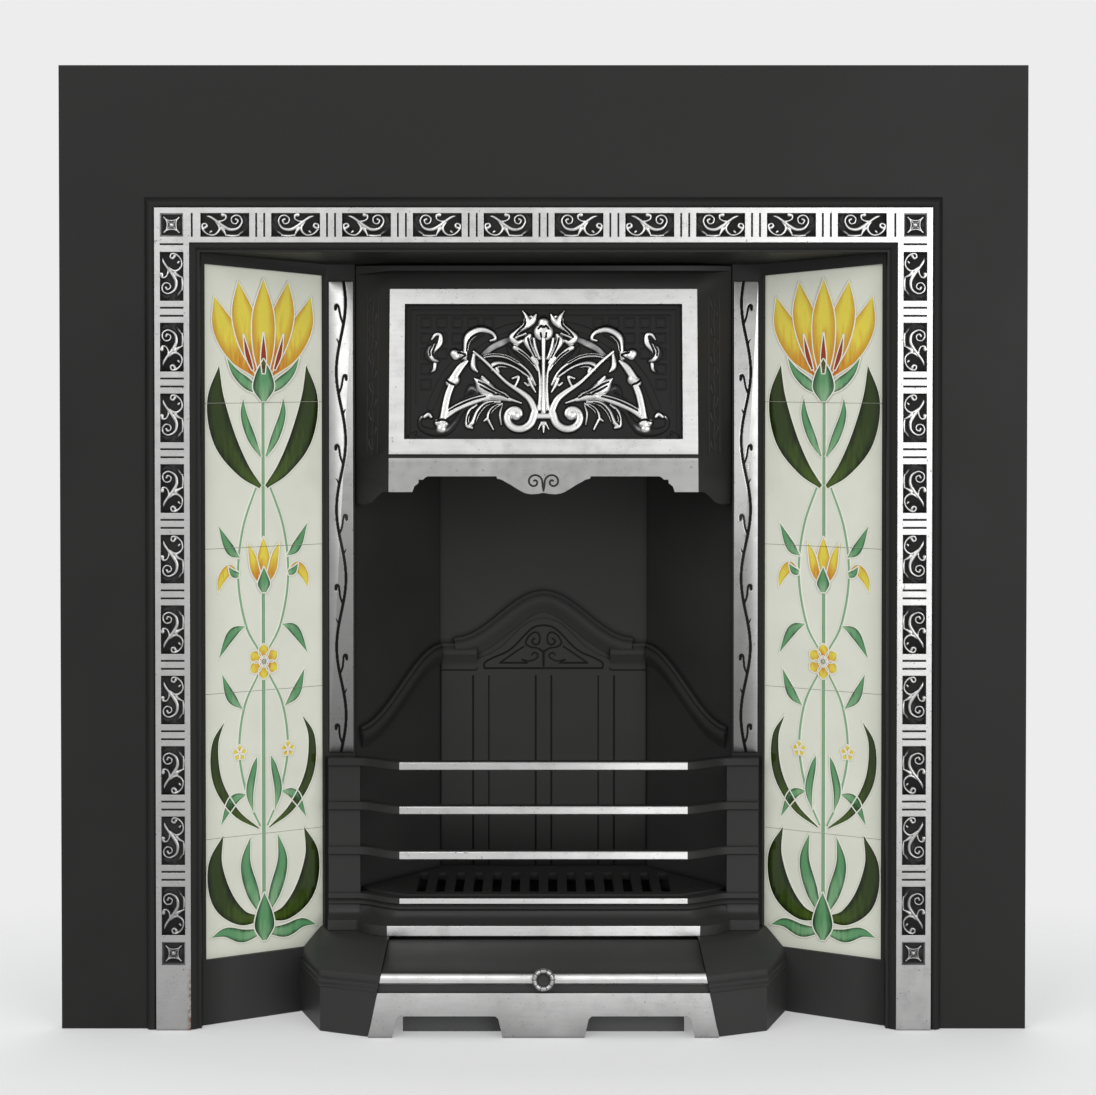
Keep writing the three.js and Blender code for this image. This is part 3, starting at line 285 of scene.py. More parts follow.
SHARP_ANGLE = math.radians(38)
WELD_DISTANCE = 2e-6
smooth_group = bpy.data.node_groups.new("smooth_mouldings", "GeometryNodeTree")
for way in ("INPUT", "OUTPUT"):
    smooth_group.interface.new_socket("Geometry", in_out=way, socket_type="NodeSocketGeometry")
group_in = smooth_group.nodes.new("NodeGroupInput")
group_out = smooth_group.nodes.new("NodeGroupOutput")
weld = smooth_group.nodes.new("GeometryNodeMergeByDistance")
weld.inputs["Distance"].default_value = WELD_DISTANCE
all_smooth = smooth_group.nodes.new("GeometryNodeSetShadeSmooth")
sharp = smooth_group.nodes.new("GeometryNodeSetShadeSmooth")
sharp.domain = "EDGE"
sharp.inputs["Shade Smooth"].default_value = False
edge_angle = smooth_group.nodes.new("GeometryNodeInputMeshEdgeAngle")
steep = smooth_group.nodes.new("FunctionNodeCompare")
steep.data_type = "FLOAT"
steep.operation = "GREATER_THAN"
steep.inputs[1].default_value = SHARP_ANGLE
for source, target in (
    (group_in.outputs[0], weld.inputs["Geometry"]),
    (weld.outputs[0], all_smooth.inputs["Geometry"]),
    (all_smooth.outputs[0], sharp.inputs["Geometry"]),
    (edge_angle.outputs["Unsigned Angle"], steep.inputs[0]),
    (steep.outputs[0], sharp.inputs["Selection"]),
    (sharp.outputs[0], group_out.inputs[0]),
):
    smooth_group.links.new(source, target)


def finish_node(name, material):
    """Gives a node of the frame its finish and rounds the shading of its mouldings."""
    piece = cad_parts[name]
    if not piece.material_slots:
        piece.data.materials.append(None)
    for slot in piece.material_slots:
        slot.link = "OBJECT"
        slot.material = material
    rounded = piece.modifiers.new("mouldings", "NODES")
    rounded.node_group = smooth_group


RUST_X = (-0.3715, -0.3665)
RUST_Z = (0.075, 0.035)


def foot_rust(tree, place):
    """Rust has got into the inner edge of the border's left foot."""
    across = coordinate(tree, place, "X")
    at_edge = span(tree, across, *RUST_X)
    on_left = span(tree, across, 0.0, -0.01)
    low_down = span(tree, coordinate(tree, place, "Z"), *RUST_Z)
    patchy = span(tree, noise(tree, place, 210.0, 4.0), 0.42, 0.62)
    share = sums(tree, "MULTIPLY", at_edge, on_left)
    return sums(tree, "MULTIPLY", share, sums(tree, "MULTIPLY", low_down, patchy))


# The band's ground iron keeps the default polish pairs: a painted sheen that brightens towards the top.
finish_node("front_casting", iron("front_iron", band_ground, gloss=0.21, rust=foot_rust))

# ---------------------------------------------------------------- scrolls in the border
# The ornament in the border's sunk panels, cast in one with the front. Its tops are ground bright
# with the band, and the ground behind it stays black. Neighbouring panels face each other.

PANEL_FLOOR_Y = BAND_Y + 0.0025
PANEL_PROUD = 0.15
PANELS_A_RUN = 10
BORDER_X = 0.3845
BORDER_Z = 0.8365
PANEL_PITCH = 0.0732
PANEL = (0.0504, 0.0244)
CORNER = (0.0239, 0.0239)
FIRST_DROP = 0.05314
FOOT_SQUARE_Z = 0.080


def drawn(points, steps=7):
    """A smooth line through the given points; their width and height flow along with it."""
    points = np.array(points, float)
    if len(points) < 3:
        return points
    ends = np.vstack([2 * points[0] - points[1], points, 2 * points[-1] - points[-2]])
    shares = np.linspace(0, 1, steps, endpoint=False)[:, None]
    line = []
    for a, b, c, d in zip(ends, ends[1:], ends[2:], ends[3:]):
        line.append(b + 0.5 * shares * (c - a + shares * (2 * a - 5 * b + 4 * c - d
                                                         + shares * (3 * (b - c) + d - a))))
    line = np.vstack(line + [points[-1:]])
    line[:, 2:] = np.maximum(line[:, 2:], 1e-6)
    return line


def press(field, us, vs, points, crown=2.0):
    """Raises a line of points (u, v, half width, height) in a field of heights, as a pattern maker lays it
    on. A crown of 2 is round on top, and a higher one is flatter."""
    line = drawn(points)
    for a, b in zip(line, line[1:]):
        reach = max(a[2], b[2])
        i0, i1 = np.searchsorted(us, (min(a[0], b[0]) - reach, max(a[0], b[0]) + reach))
        j0, j1 = np.searchsorted(vs, (min(a[1], b[1]) - reach, max(a[1], b[1]) + reach))
        if i0 == i1 or j0 == j1:
            continue
        along = b[:2] - a[:2]
        length = max(along @ along, 1e-12)
        u, v = us[None, i0:i1] - a[0], vs[j0:j1, None] - a[1]
        share = np.clip((u * along[0] + v * along[1]) / length, 0, 1)
        far = np.hypot(u - share * along[0], v - share * along[1])
        half = a[2] + (b[2] - a[2]) * share
        rise = a[3] + (b[3] - a[3]) * share
        bump = rise * np.sqrt(np.clip(1 - (far / half) ** crown, 0, 1))
        field[j0:j1, i0:i1] = np.maximum(field[j0:j1, i0:i1], bump)


def press_pair(field, us, vs, points, crown=2.0, scale=1.0, widen=1.0):
    """Raises a line and its mirror image about the middle."""
    for mirror in (1, -1):
        line = [(mirror * u * scale, v * scale, w * widen * scale, h) for u, v, w, h in points]
        press(field, us, vs, line, crown)


def scroll(centre, radii, turns, widths, rise):
    """Points of a spiral from its eye outwards; turns are the start and end angles in degrees."""
    shares = np.linspace(0, 1, max(int(abs(turns[1] - turns[0]) / 30), 3))
    angles = np.radians(turns[0] + (turns[1] - turns[0]) * shares)
    radius = radii[0] + (radii[1] - radii[0]) * shares
    width = widths[0] + (widths[1] - widths[0]) * shares
    return [(centre[0] + r * math.cos(a), centre[1] + r * math.sin(a), w, rise)
            for r, a, w in zip(radius, angles, width)]


def new_piece(name, points, faces, material):
    """A mesh piece from its points and faces, already in its place."""
    mesh = bpy.data.meshes.new(name)
    mesh.from_pydata([tuple(p) for p in points], [], faces)
    mesh.materials.append(material)
    mesh.shade_smooth()
    mesh.validate()
    piece = bpy.data.objects.new(name, mesh)
    bpy.context.collection.objects.link(piece)
    return piece


def relief_body(field, us, vs, put, behind):
    """Points and faces of a closed casting over a field of heights. Put turns u, v, height into a place."""
    rows, columns = field.shape
    u, v = np.meshgrid(us, vs)
    top = put(u.ravel(), v.ravel(), field.ravel())
    rim = np.concatenate([np.arange(columns - 1), np.arange(1, rows) * columns - 1,
                          rows * columns - 1 - np.arange(columns - 1), (rows - np.arange(1, rows)) * columns])
    below = put(u.ravel()[rim], v.ravel()[rim], np.full(len(rim), -behind))
    index = np.arange(rows * columns).reshape(rows, columns)
    quads = np.stack([index[:-1, :-1], index[:-1, 1:], index[1:, 1:], index[1:, :-1]], -1).reshape(-1, 4)
    low = rows * columns + np.arange(len(rim))
    walls = np.stack([rim, low, np.roll(low, -1), np.roll(rim, -1)], -1)
    return np.vstack([top, below]), quads.tolist() + walls.tolist() + [low[::-1].tolist()]


def cast_relief(name, bodies, material, marks_by_body, mark="bright"):
    """One piece from several closed castings, each with its share of polish, or of painted shade in sunk lines,
    per point.
    """
    points, faces, marks = [], [], []
    start = 0
    for (body_points, body_faces), shares in zip(bodies, marks_by_body):
        points.append(body_points)
        faces += [[corner + start for corner in face] for face in body_faces]
        marks.append(np.concatenate([shares.ravel(), np.zeros(len(body_points) - shares.size)]))
        start += len(body_points)
    piece = new_piece(name, np.vstack(points), faces, material)
    piece.data.attributes.new(mark, "FLOAT", "POINT").data.foreach_set("value", np.concatenate(marks))
    return piece


def on_band(x, z, turn):
    """Places a panel's drawing, in millimetres, on the border. Turn gives its right and its up."""
    (rx, rz), (ux, uz) = turn

    def put(u, v, height):
        return np.stack([x + (u * rx + v * ux) / 1000, PANEL_FLOOR_Y - (height + PANEL_PROUD) / 1000,
                         z + (u * rz + v * uz) / 1000], -1)
    return put


half_long, half_wide = PANEL[0] * 500, PANEL[1] * 500
panel_us = np.linspace(-half_long, half_long, 112)
panel_vs = np.linspace(-half_wide, half_wide, 56)
panel_field = np.zeros((len(panel_vs), len(panel_us)))
for stroke in (
    [(-19.5, 9.4, 0.5, 1.4), (-15, 8.3, 1.3, 2.2), (-9.7, 4.9, 1.4, 2.3), (-2.2, -0.8, 1.7, 2.3),
     (5.3, -4.6, 1.7, 2.3), (13.6, -3.2, 1.4, 2.3), (17.7, 3.4, 1.1, 2.3), (15.4, 8.9, 1.1, 2.3),
     (10.6, 9.9, 1.1, 2.3), (6.8, 6.9, 1, 2.3), (7.6, 2.4, 1, 2.3), (11.6, 1.3, 1, 2.3),
     (13.6, 4.6, 1.1, 2.3), (11.4, 6, 1.4, 2.3)],
    [(-8, 4.4, 0.8, 1.6), (-3.6, 4, 1, 2.1), (0.6, 6.3, 1, 2.2), (0.8, 9.8, 1.3, 2.2),
     (-2.4, 10.4, 1.9, 2.3)],
    [(-10.4, 4.0, 0.7, 1.6), (-6.2, -1.6, 1.2, 2.2), (-6.4, -6.2, 1.3, 2.3), (-11, -10.2, 1.1, 2.3),
     (-17.9, -9.4, 1.0, 2.2), (-23, -4.4, 1.2, 2.3), (-23.3, 0.2, 1.2, 2.3), (-19.9, 1.4, 1.1, 2.3),
     (-18.6, -1.2, 1.3, 2.3), (-20.8, -2.9, 1.5, 2.3)],
    [(-14.2, -6.6, 1.4, 1.9), (-15.4, -7.6, 1.0, 1.9)],
    [(-6.2, -2.4, 1.0, 2.1), (-2.6, -4.2, 1.7, 2.3), (0.2, -8.8, 1.1, 2.2), (1.0, -11.2, 0.7, 2.0)],
    [(1.6, -10.6, 1.0, 1.8), (7.9, -11.1, 1.2, 2.2), (14.4, -10.6, 0.9, 2.0)],
    [(13.6, -10.2, 0.8, 1.6), (18.5, -6.8, 1.4, 1.5), (22.3, -3.6, 0.5, 0.8)],
    [(20.5, 1.5, 0.9, 0.8), (21.5, 5.5, 1.4, 0.8), (19.6, 9.6, 0.7, 0.6)],
):
    press(panel_field, panel_us, panel_vs, [(u, v, 1.4 * w, h) for u, v, w, h in stroke])
panel_field += 0.18 * np.clip(np.abs(panel_vs[:, None]) - half_wide + 1.6, 0, 1.6) ** 2
panel_bright = np.clip((panel_field - 1.0) / 1.2, 0, 1)

half_corner = CORNER[0] * 500
corner_us = np.linspace(-half_corner, half_corner, 56)
corner_field = np.zeros((len(corner_us), len(corner_us)))
star_side = [(-7.9, 7.9, 1.3, 2.2), (-4.6, 5.4, 1.2, 2.3), (0, 4.5, 1.2, 2.3), (4.6, 5.4, 1.2, 2.3),
             (7.9, 7.9, 1.3, 2.2)]
star_rib = [(2.2, 2.2, 0.7, 1.4), (6.8, 6.8, 0.7, 1.6)]
for turn_x, turn_y in ((1, 0), (0, 1), (-1, 0), (0, -1)):
    for stroke in (star_side, star_rib):
        press(corner_field, corner_us, corner_us,
              [(u * turn_x - v * turn_y, u * turn_y + v * turn_x, w, h) for u, v, w, h in stroke])
press(corner_field, corner_us, corner_us, [(-0.1, 0, 2.9, 2.35), (0.1, 0, 2.9, 2.35)])
across, upwards = np.abs(corner_us[None, :]), np.abs(corner_us[:, None])
from_middle, off_arm = np.maximum(across, upwards), np.minimum(across, upwards)
in_star = from_middle < np.interp(off_arm, (0, 4.6, 7.9), (4.5, 5.4, 7.9))
corner_field = np.maximum(corner_field, np.where(in_star, 1.15, 0))
square_edge = from_middle - half_corner + 2.4
corner_field = np.maximum(corner_field, 1.35 * np.clip(square_edge / 1.6, 0, 1))
corner_bright = np.clip((corner_field - 0.9) / 0.8, 0, 1)

# The panels' black is a lighter copy of the front's paint: painted light, lifting the sunk panels out of their
# shade. Their flanks get painted shade, and the polish pairs paint a sheen that brightens with height.
lit_scroll_iron = iron("lit_scroll_iron", by_mark, dark=(0.010, 0.010, 0.0097, 1), light=(0.017, 0.017, 0.0165, 1),
                   matt=(0.45, 0.65), polish_and_sheen=((0.05, 0.34), (0.86, 0.58)), shaded_flanks=True)
RIGHT, LEFT, UP, DOWN = (1, 0), (-1, 0), (0, 1), (0, -1)
middle_out = (PANELS_A_RUN - 1) / 2
for run_name, first, step, aims in (
    ("top", (-middle_out * PANEL_PITCH, BORDER_Z), (PANEL_PITCH, 0), ((RIGHT, UP), (LEFT, UP))),
    ("left", (-BORDER_X, BORDER_Z - FIRST_DROP), (0, -PANEL_PITCH), ((DOWN, LEFT), (UP, LEFT))),
    ("right", (BORDER_X, BORDER_Z - FIRST_DROP), (0, -PANEL_PITCH), ((DOWN, RIGHT), (UP, RIGHT))),
):
    bodies = []
    for i in range(PANELS_A_RUN):
        turn = aims[i % 2]
        (rx, rz), (ux, uz) = turn
        put = on_band(first[0] + i * step[0], first[1] + i * step[1], turn)
        points, faces = relief_body(panel_field, panel_us, panel_vs, put, 0.2)
        flipped = rx * uz - rz * ux < 0
        bodies.append((points, [face[::-1] for face in faces] if flipped else faces))
    border = cast_relief("border_scrolls_" + run_name, bodies, lit_scroll_iron, [panel_bright] * len(bodies))
    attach(border, "fireplace")
bodies = [relief_body(corner_field, corner_us, corner_us, on_band(side * BORDER_X, z, (RIGHT, UP)), 0.2)
          for side in (-1, 1) for z in (BORDER_Z, FOOT_SQUARE_Z)]
stars = cast_relief("border_stars", bodies, lit_scroll_iron, [corner_bright] * len(bodies))
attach(stars, "fireplace")

# ---------------------------------------------------------------- vines on the jambs
# The bright strip down each jamb, with a thorny vine sunk in it and left black.
# Cast with the front, then ground flat.

STRIP_FOOT, STRIP_TOP = 275.0, 780.0
STRIP_X = 216.75
STRIP_HALF = 13.2
STRIP_PROUD = 0.25
VINE_PERIOD, VINE_SWING, VINE_CREST = 147.5, 5.0, 757
BUDS, BUD_PITCH, FIRST_BUD = 7, 75.0, 751

strip_us = np.linspace(-STRIP_HALF, STRIP_HALF, 48)
strip_vs = np.linspace(STRIP_FOOT, STRIP_TOP, 860)


def vine_u(z):
    return VINE_SWING * math.cos(2 * math.pi * (z - VINE_CREST) / VINE_PERIOD)


vine_field = np.zeros((len(strip_vs), len(strip_us)))
vine_strokes = [[(vine_u(z), z, 1.7, 1) for z in np.arange(STRIP_FOOT - 4, STRIP_TOP + 8, 12)]]
for bud in range(BUDS):
    z = FIRST_BUD - bud * BUD_PITCH
    way = -1 if bud % 2 == 0 else 1
    root = z - 17
    vine_strokes.append([(vine_u(root), root, 1.3, 1), (vine_u(root) + way * 3, root + 8, 1.2, 1),
                         (way * 2.6, z + 2, 1.3, 1), (way * 5.2, z + 3, 1.9, 1), (way * 5.8, z - 1, 1.6, 1)])
    thorn = z - 38
    vine_strokes.append([(vine_u(thorn), thorn, 1.5, 1), (vine_u(thorn) + way * 3, thorn + 5, 0.5, 0.8)])
for stroke in vine_strokes:
    press(vine_field, strip_us, strip_vs, stroke)
vine_top = STRIP_PROUD * (1 - 0.9 * vine_field)
vine_bright = np.clip(1.15 - 2.2 * vine_field, 0, 1)
edge_u = np.clip((STRIP_HALF - np.abs(strip_us)) / 0.8, 0, 1)[None, :]
vine_bright *= edge_u

JAMB_STRIP_Y = FLANGE_Y + 0.09599 - 0.0015
# The strips' polish pairs paint a sheen that brightens towards the top.
vine_iron = iron("vine_iron", by_mark, polish_and_sheen=((0.3, 0.20), (0.74, 0.41)))
for side_name, side in (("left", -1), ("right", 1)):
    def on_jamb(u, v, height, side=side):
        return np.stack([side * (STRIP_X / 1000 - u / 1000), JAMB_STRIP_Y - height / 1000, v / 1000], -1)
    points, faces = relief_body(vine_top, strip_us, strip_vs, on_jamb, 0.1)
    vine = cast_relief("vine_" + side_name, [(points, [f[::-1] for f in faces] if side > 0 else faces)],
                       vine_iron, [vine_bright])
    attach(vine, "fireplace")

# ---------------------------------------------------------------- tiles
# Five 6 inch tiles a side, dust pressed and glazed cream. The flowers are tube lined: a thin line of
# clay is piped round each leaf and petal, and coloured glaze is run in between.

TILE_PITCH = 152.4
TILE_BASE = 41.7
JAMB_OUTER, JAMB_FACE = 231.5, 95.99
SPLAY = math.radians(33.9)
TILE_FACE = 4.8
TILE_MIDDLE_RUN = 75.3


def glaze(name, body, pool=None, throat=None, rough=0.07):
    """Coloured glaze: darker where it pools along the lines, and shading into a second colour at the root."""
    material = bpy.data.materials.new(name)
    tree = emptied(material)
    place = node(tree, "TexCoord").outputs["Object"]
    cloud = noise(tree, place, 22.0, 4.0)
    drawn_up = node(tree, "Mapping", {"Vector": place, "Scale": (260.0, 260.0, 45.0)}).outputs[0]
    streaks = noise(tree, drawn_up, 1.0, 3.0)
    shade = blend(tree, span(tree, cloud, 0.3, 0.7), body, tuple(c * 0.93 for c in body[:3]) + (1,))
    if throat:
        along = node(tree, "Attribute", attribute_name="along").outputs["Fac"]
        ragged = sums(tree, "ADD", along, span(tree, streaks, 0.25, 0.75, -0.22, 0.22))
        shade = blend(tree, span(tree, ragged, 0.55, 0.02), shade, throat)
    if pool:
        across = node(tree, "Attribute", attribute_name="across").outputs["Fac"]
        edge = sums(tree, "ADD", across, span(tree, streaks, 0.25, 0.75, -0.12, 0.12))
        shade = blend(tree, span(tree, edge, 0.38, 0.98), shade, pool)
    wave = node(tree, "Bump", {"Height": noise(tree, place, 70.0, 2.0), "Strength": 0.35, "Distance": 0.0002})
    face = node(tree, "BsdfPrincipled", {"Base Color": shade, "Roughness": rough, "Specular IOR Level": 0.28,
                                         "Normal": wave.outputs[0]})
    node(tree, "OutputMaterial", {"Surface": face.outputs[0]})
    return material


cream = glaze("cream_glaze", colour(219, 221, 206))
for side_name in ("left", "right"):
    for row in range(1, 6):
        finish_node(f"tile_{side_name}_{row}", cream)

glazes = {
    "line": glaze("tube_line", colour(226, 227, 212)),
    "stem": glaze("stem_glaze", colour(128, 168, 128), pool=colour(40, 84, 50)),
    "leaf": glaze("leaf_glaze", colour(92, 148, 100), pool=colour(10, 34, 16), throat=colour(132, 172, 130)),
    "bottle": glaze("bottle_glaze", colour(44, 60, 18), pool=colour(6, 12, 4), throat=colour(66, 88, 26)),
    "petal": glaze("petal_glaze", colour(222, 205, 74), pool=colour(196, 140, 34),
                   throat=colour(190, 88, 16)),
    "ember": glaze("ember_glaze", colour(150, 52, 12), pool=colour(104, 30, 8)),
}
GLAZE_ORDER = list(glazes)

# Each shape is a glaze, a layer and the points (across, up, half width) of its middle line, on the
# right of the panel's middle; all but those on the middle line itself have a mirror image.
ROSETTE_UP = 335
BLOSSOM = (29, 240)


def ring_of(middle, spokes, start, points):
    """Middle lines of petals round a middle, from points (distance out, half width)."""
    for spoke in range(spokes):
        angle = math.radians(360 / spokes * spoke + start)
        yield [(middle[0] + math.cos(angle) * r, middle[1] + math.sin(angle) * r, w) for r, w in points]


flowers = [
    ("stem", 0, [(0, 70, 2.7), (0, 330, 2.6), (0, 612, 2.4)]),
    ("stem", 0, [(5, 528, 1.7), (24, 478, 1.9), (30, 425, 1.9), (21, 375, 1.9), (5, 346, 1.6)]),
    ("stem", 0, [(5, 324, 1.6), (23, 288, 1.9), (29, 240, 1.9), (19, 192, 1.9), (4, 160, 1.6)]),
    ("bottle", 1, [(3, 520, 2.5), (25, 540, 9), (46, 572, 14), (56, 612, 11), (52, 650, 0.4)]),
    ("leaf", 2, [(3, 552, 1.5), (14, 572, 5.5), (23, 596, 4.5), (24, 616, 0.4)]),
    ("petal", 2, [(8, 640, 5), (30, 664, 14), (48, 692, 13), (58, 722, 0.5)]),
    ("petal", 3, [(4, 640, 5), (15, 672, 14), (25, 706, 13), (30, 738, 0.5)]),
    ("petal", 4, [(0, 636, 5), (0, 668, 13), (0, 704, 13), (0, 741, 0.5)]),
    ("ember", 5, [(0, 640, 2), (0, 658, 3.6), (0, 684, 0.4)]),
    ("ember", 5, [(13, 644, 1.6), (19, 660, 3), (24, 682, 0.4)]),
    ("leaf", 5, [(0, 610, 3), (0, 624, 13), (0, 640, 10), (0, 656, 0.5)]),
    ("leaf", 4, [(7, 622, 4), (20, 630, 6.5), (34, 642, 4.5), (44, 658, 0.4)]),
    ("leaf", 1, [(28, 446, 0.8), (40, 456, 6), (54, 482, 0.4)]),
    ("petal", 1, [(31, 430, 2), (41, 434, 6), (50, 424, 5), (54, 410, 0.4)]),
    ("leaf", 2, [(29, 428, 3), (36, 430, 4.2), (42, 438, 0.4)]),
    ("petal", 2, [(0, 420, 4), (0, 436, 8.5), (0, 452, 6.5), (0, 468, 0.4)]),
    ("petal", 3, [(3, 418, 3), (10, 432, 5.5), (14, 448, 4.5), (19, 462, 0.4)]),
    ("leaf", 4, [(0, 408, 3), (0, 417, 8), (0, 426, 5), (0, 436, 0.4)]),
    ("leaf", 1, [(22, 374, 0.8), (38, 366, 6), (54, 340, 0.4)]),
    ("bottle", 1, [(6, 158, 1.2), (34, 178, 4.5), (55, 212, 6), (58, 250, 4.5), (46, 276, 0.4)]),
    ("leaf", 2, [(13, 176, 0.8), (17, 198, 5), (12, 222, 4), (8, 236, 0.4)]),
    ("leaf", 1, [(25, 286, 0.8), (39, 300, 6), (50, 326, 0.4)]),
    ("leaf", 1, [(20, 196, 0.8), (37, 190, 6), (52, 164, 0.4)]),
    ("bottle", 1, [(4, 62, 3), (28, 66, 9), (50, 88, 13), (58, 124, 9), (48, 156, 0.4)]),
    ("leaf", 2, [(3, 66, 2.5), (14, 92, 8), (22, 122, 6.5), (16, 152, 0.4)]),
    ("leaf", 2, [(6, 48, 4), (26, 46, 7.5), (46, 52, 5.5), (64, 48, 0.4)]),
    ("leaf", 3, [(0, 38, 3), (0, 52, 12), (0, 68, 10), (0, 90, 0.4)]),
]
rosette = []
for petal, ember in zip(ring_of((0, ROSETTE_UP), 6, 90, ((3, 2.5), (9, 6.2), (15, 5.6), (19, 0.8))),
                        ring_of((0, ROSETTE_UP), 6, 90, ((0, 3.6), (4, 2.6), (6, 0.4)))):
    rosette += [("petal", 2, petal, 1), ("ember", 3, ember, 1)]
blossoms = [("petal", 2, line) for line in ring_of(BLOSSOM, 5, 18, ((1, 1.5), (5, 3.6), (9, 0.5)))]


def with_mirrors(shapes):
    """Each shape with 1, and again with -1 if it lies beside the middle."""
    return [(paint, layer, line, mirror) for paint, layer, line in shapes
            for mirror in ((1, -1) if any(u for u, v, w in line) else (1,))]


LAYER_RISE = 0.32
CLOSEST = 0.15  # points of an outline that lie nearer than this are one
JOINT_HALF = 0.3
# The piped line's section: shares of its half width, and how far it stands above the glaze
LINE_HALF = 0.8
TUBE = ((-1, -0.1), (-0.8, 0.12), (-0.3, 0.26), (0.3, 0.26), (0.8, 0.12), (1, -0.15))
for side_name, side in (("left", -1), ("right", 1)):
    points, faces, paints, acrosses, alongs = [], [], [], [], []

    def lay(u, v, rise, across, along, side=side):
        """Adds a point of the drawing on this side's tiles, and gives its number."""
        run, behind = TILE_MIDDLE_RUN + u, TILE_FACE - rise
        points.append((side * (JAMB_OUTER + run * math.cos(SPLAY) + behind * math.sin(SPLAY)) / 1000,
                       FLANGE_Y + (JAMB_FACE - run * math.sin(SPLAY) + behind * math.cos(SPLAY)) / 1000,
                       (TILE_BASE + v) / 1000))
        acrosses.append(across)
        alongs.append(along)
        return len(points) - 1

    def skin_between(rings, paint):
        """Closes the skin from each ring of points to the next in one glaze."""
        for a, b in zip(rings, rings[1:]):
            for k, n in zip(range(len(a)), [*range(1, len(a)), 0]):
                faces.append([a[k], a[n], b[n], b[k]])
                paints.append(GLAZE_ORDER.index(paint))

    for paint, layer, spine, mirror in with_mirrors(flowers) + rosette + with_mirrors(blossoms):
        line = drawn([(mirror * u, v, w) for u, v, w in spine], 8)
        heading = np.gradient(line[:, :2], axis=0)
        heading /= np.linalg.norm(heading, axis=1)[:, None]
        aside = np.stack([heading[:, 1], -heading[:, 0]], -1) * line[:, 2:]
        left, right = line[:, :2] - aside, line[:, :2] + aside
        base = layer * LAYER_RISE + 0.05
        sections = []
        for l, m, r, s in zip(left, line, right, np.linspace(0, 1, len(line))):
            sections.append([lay(*l, base, 1, s), lay(m[0], m[1], base, 0, s), lay(*r, base, 1, s),
                             lay(*r, -0.1, 1, s), lay(*l, -0.1, 1, s)])
        skin_between(sections, paint)
        faces += [sections[0][::-1], sections[-1]]
        paints += [GLAZE_ORDER.index(paint)] * 2
        outline = np.vstack([left, right[::-1]])
        apart = np.linalg.norm(outline - np.roll(outline, 1, axis=0), axis=1)
        outline = outline[apart > CLOSEST]
        turn = np.roll(outline, -1, axis=0) - np.roll(outline, 1, axis=0)
        turn /= np.maximum(np.linalg.norm(turn, axis=1), 1e-9)[:, None]
        out = np.stack([turn[:, 1], -turn[:, 0]], -1)
        rings = [[lay(*(at + away * LINE_HALF * k), base + rise, 1, 0) for k, rise in TUBE]
                 for at, away in zip(outline, out)]
        skin_between(rings + rings[:1], "line")
    art = new_piece("tile_flowers_" + side_name, points, faces, glazes["line"])
    for key in GLAZE_ORDER[1:]:
        art.data.materials.append(glazes[key])
    art.data.polygons.foreach_set("material_index", paints)
    art.data.attributes.new("across", "FLOAT", "POINT").data.foreach_set("value", acrosses)
    art.data.attributes.new("along", "FLOAT", "POINT").data.foreach_set("value", alongs)
    cut = bmesh.new()
    cut.from_mesh(art.data)
    for joint in range(1, 5):
        low, high = ((TILE_BASE + joint * TILE_PITCH + edge) / 1000 for edge in (-JOINT_HALF, JOINT_HALF))
        for height in (low, high):
            bmesh.ops.bisect_plane(cut, geom=cut.verts[:] + cut.edges[:] + cut.faces[:],
                                   plane_co=(0, 0, height), plane_no=(0, 0, 1))
        slit = [f for f in cut.faces if low < f.calc_center_median().z < high]
        bmesh.ops.delete(cut, geom=slit, context="FACES")
    bmesh.ops.holes_fill(cut, edges=[e for e in cut.edges if e.is_boundary], sides=0)
    bmesh.ops.recalc_face_normals(cut, faces=cut.faces[:])
    cut.to_mesh(art.data)
    cut.free()
    art.data.shade_smooth()
    art.modifiers.new("glaze_edges", "NODES").node_group = smooth_group
    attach(art, "fireplace")

# ---------------------------------------------------------------- hood
# A loose casting that leans out of the top of the opening. Its frame and its stepped valance are
# ground bright, and so are the tops of the scrollwork cast in its window.

FACE_FOOT_Z, FACE_TOP_Z = 557, 775
HOOD_FOOT = (0, FLANGE_Y + 0.0417, FACE_FOOT_Z / 1000)
HOOD_LEAN = math.atan2(75 - 41.7, FACE_TOP_Z - FACE_FOOT_Z)
HOOD_UP = (0, math.sin(HOOD_LEAN), math.cos(HOOD_LEAN))
HOOD_OUT = (0, -math.cos(HOOD_LEAN), math.sin(HOOD_LEAN))
WINDOW_MIDDLE = (683.75 - FACE_FOOT_Z) / math.cos(HOOD_LEAN)
WINDOW_HALF = (146.7, 71.9)
FIELD_DEEP = 2.5
FRAME_PROUD = 4.0
HOOD_DEPTH = sum(a * b for a, b in zip(HOOD_FOOT, HOOD_OUT))


def on_hood(u, v, height):
    """Places a drawing on the leaning face: millimetres to the right, up the lean, and out of the iron."""
    up, out = np.array(HOOD_UP), np.array(HOOD_OUT)
    spot = np.array(HOOD_FOOT) + (up * np.reshape(v, (-1, 1)) + out * np.reshape(height, (-1, 1))) / 1000
    spot[:, 0] += np.ravel(u) / 1000
    return spot


def hood_ground(tree, place):
    return ground(tree, place, HOOD_OUT, HOOD_DEPTH + FRAME_PROUD / 1000 - 0.0006)


# The hood's black is a lighter copy of the front's paint: painted light, so the hood reads brighter than the
# same paint elsewhere. Its polish pairs paint a sheen that changes with height.
LIT_HOOD_PAINT = {"dark": (0.0112, 0.0112, 0.0108, 1), "light": (0.0172, 0.0172, 0.0165, 1)}
finish_node("hood", iron("lit_hood_iron", hood_ground, polish_and_sheen=((0.588, 0.275), (0.602, 0.53)), **LIT_HOOD_PAINT))

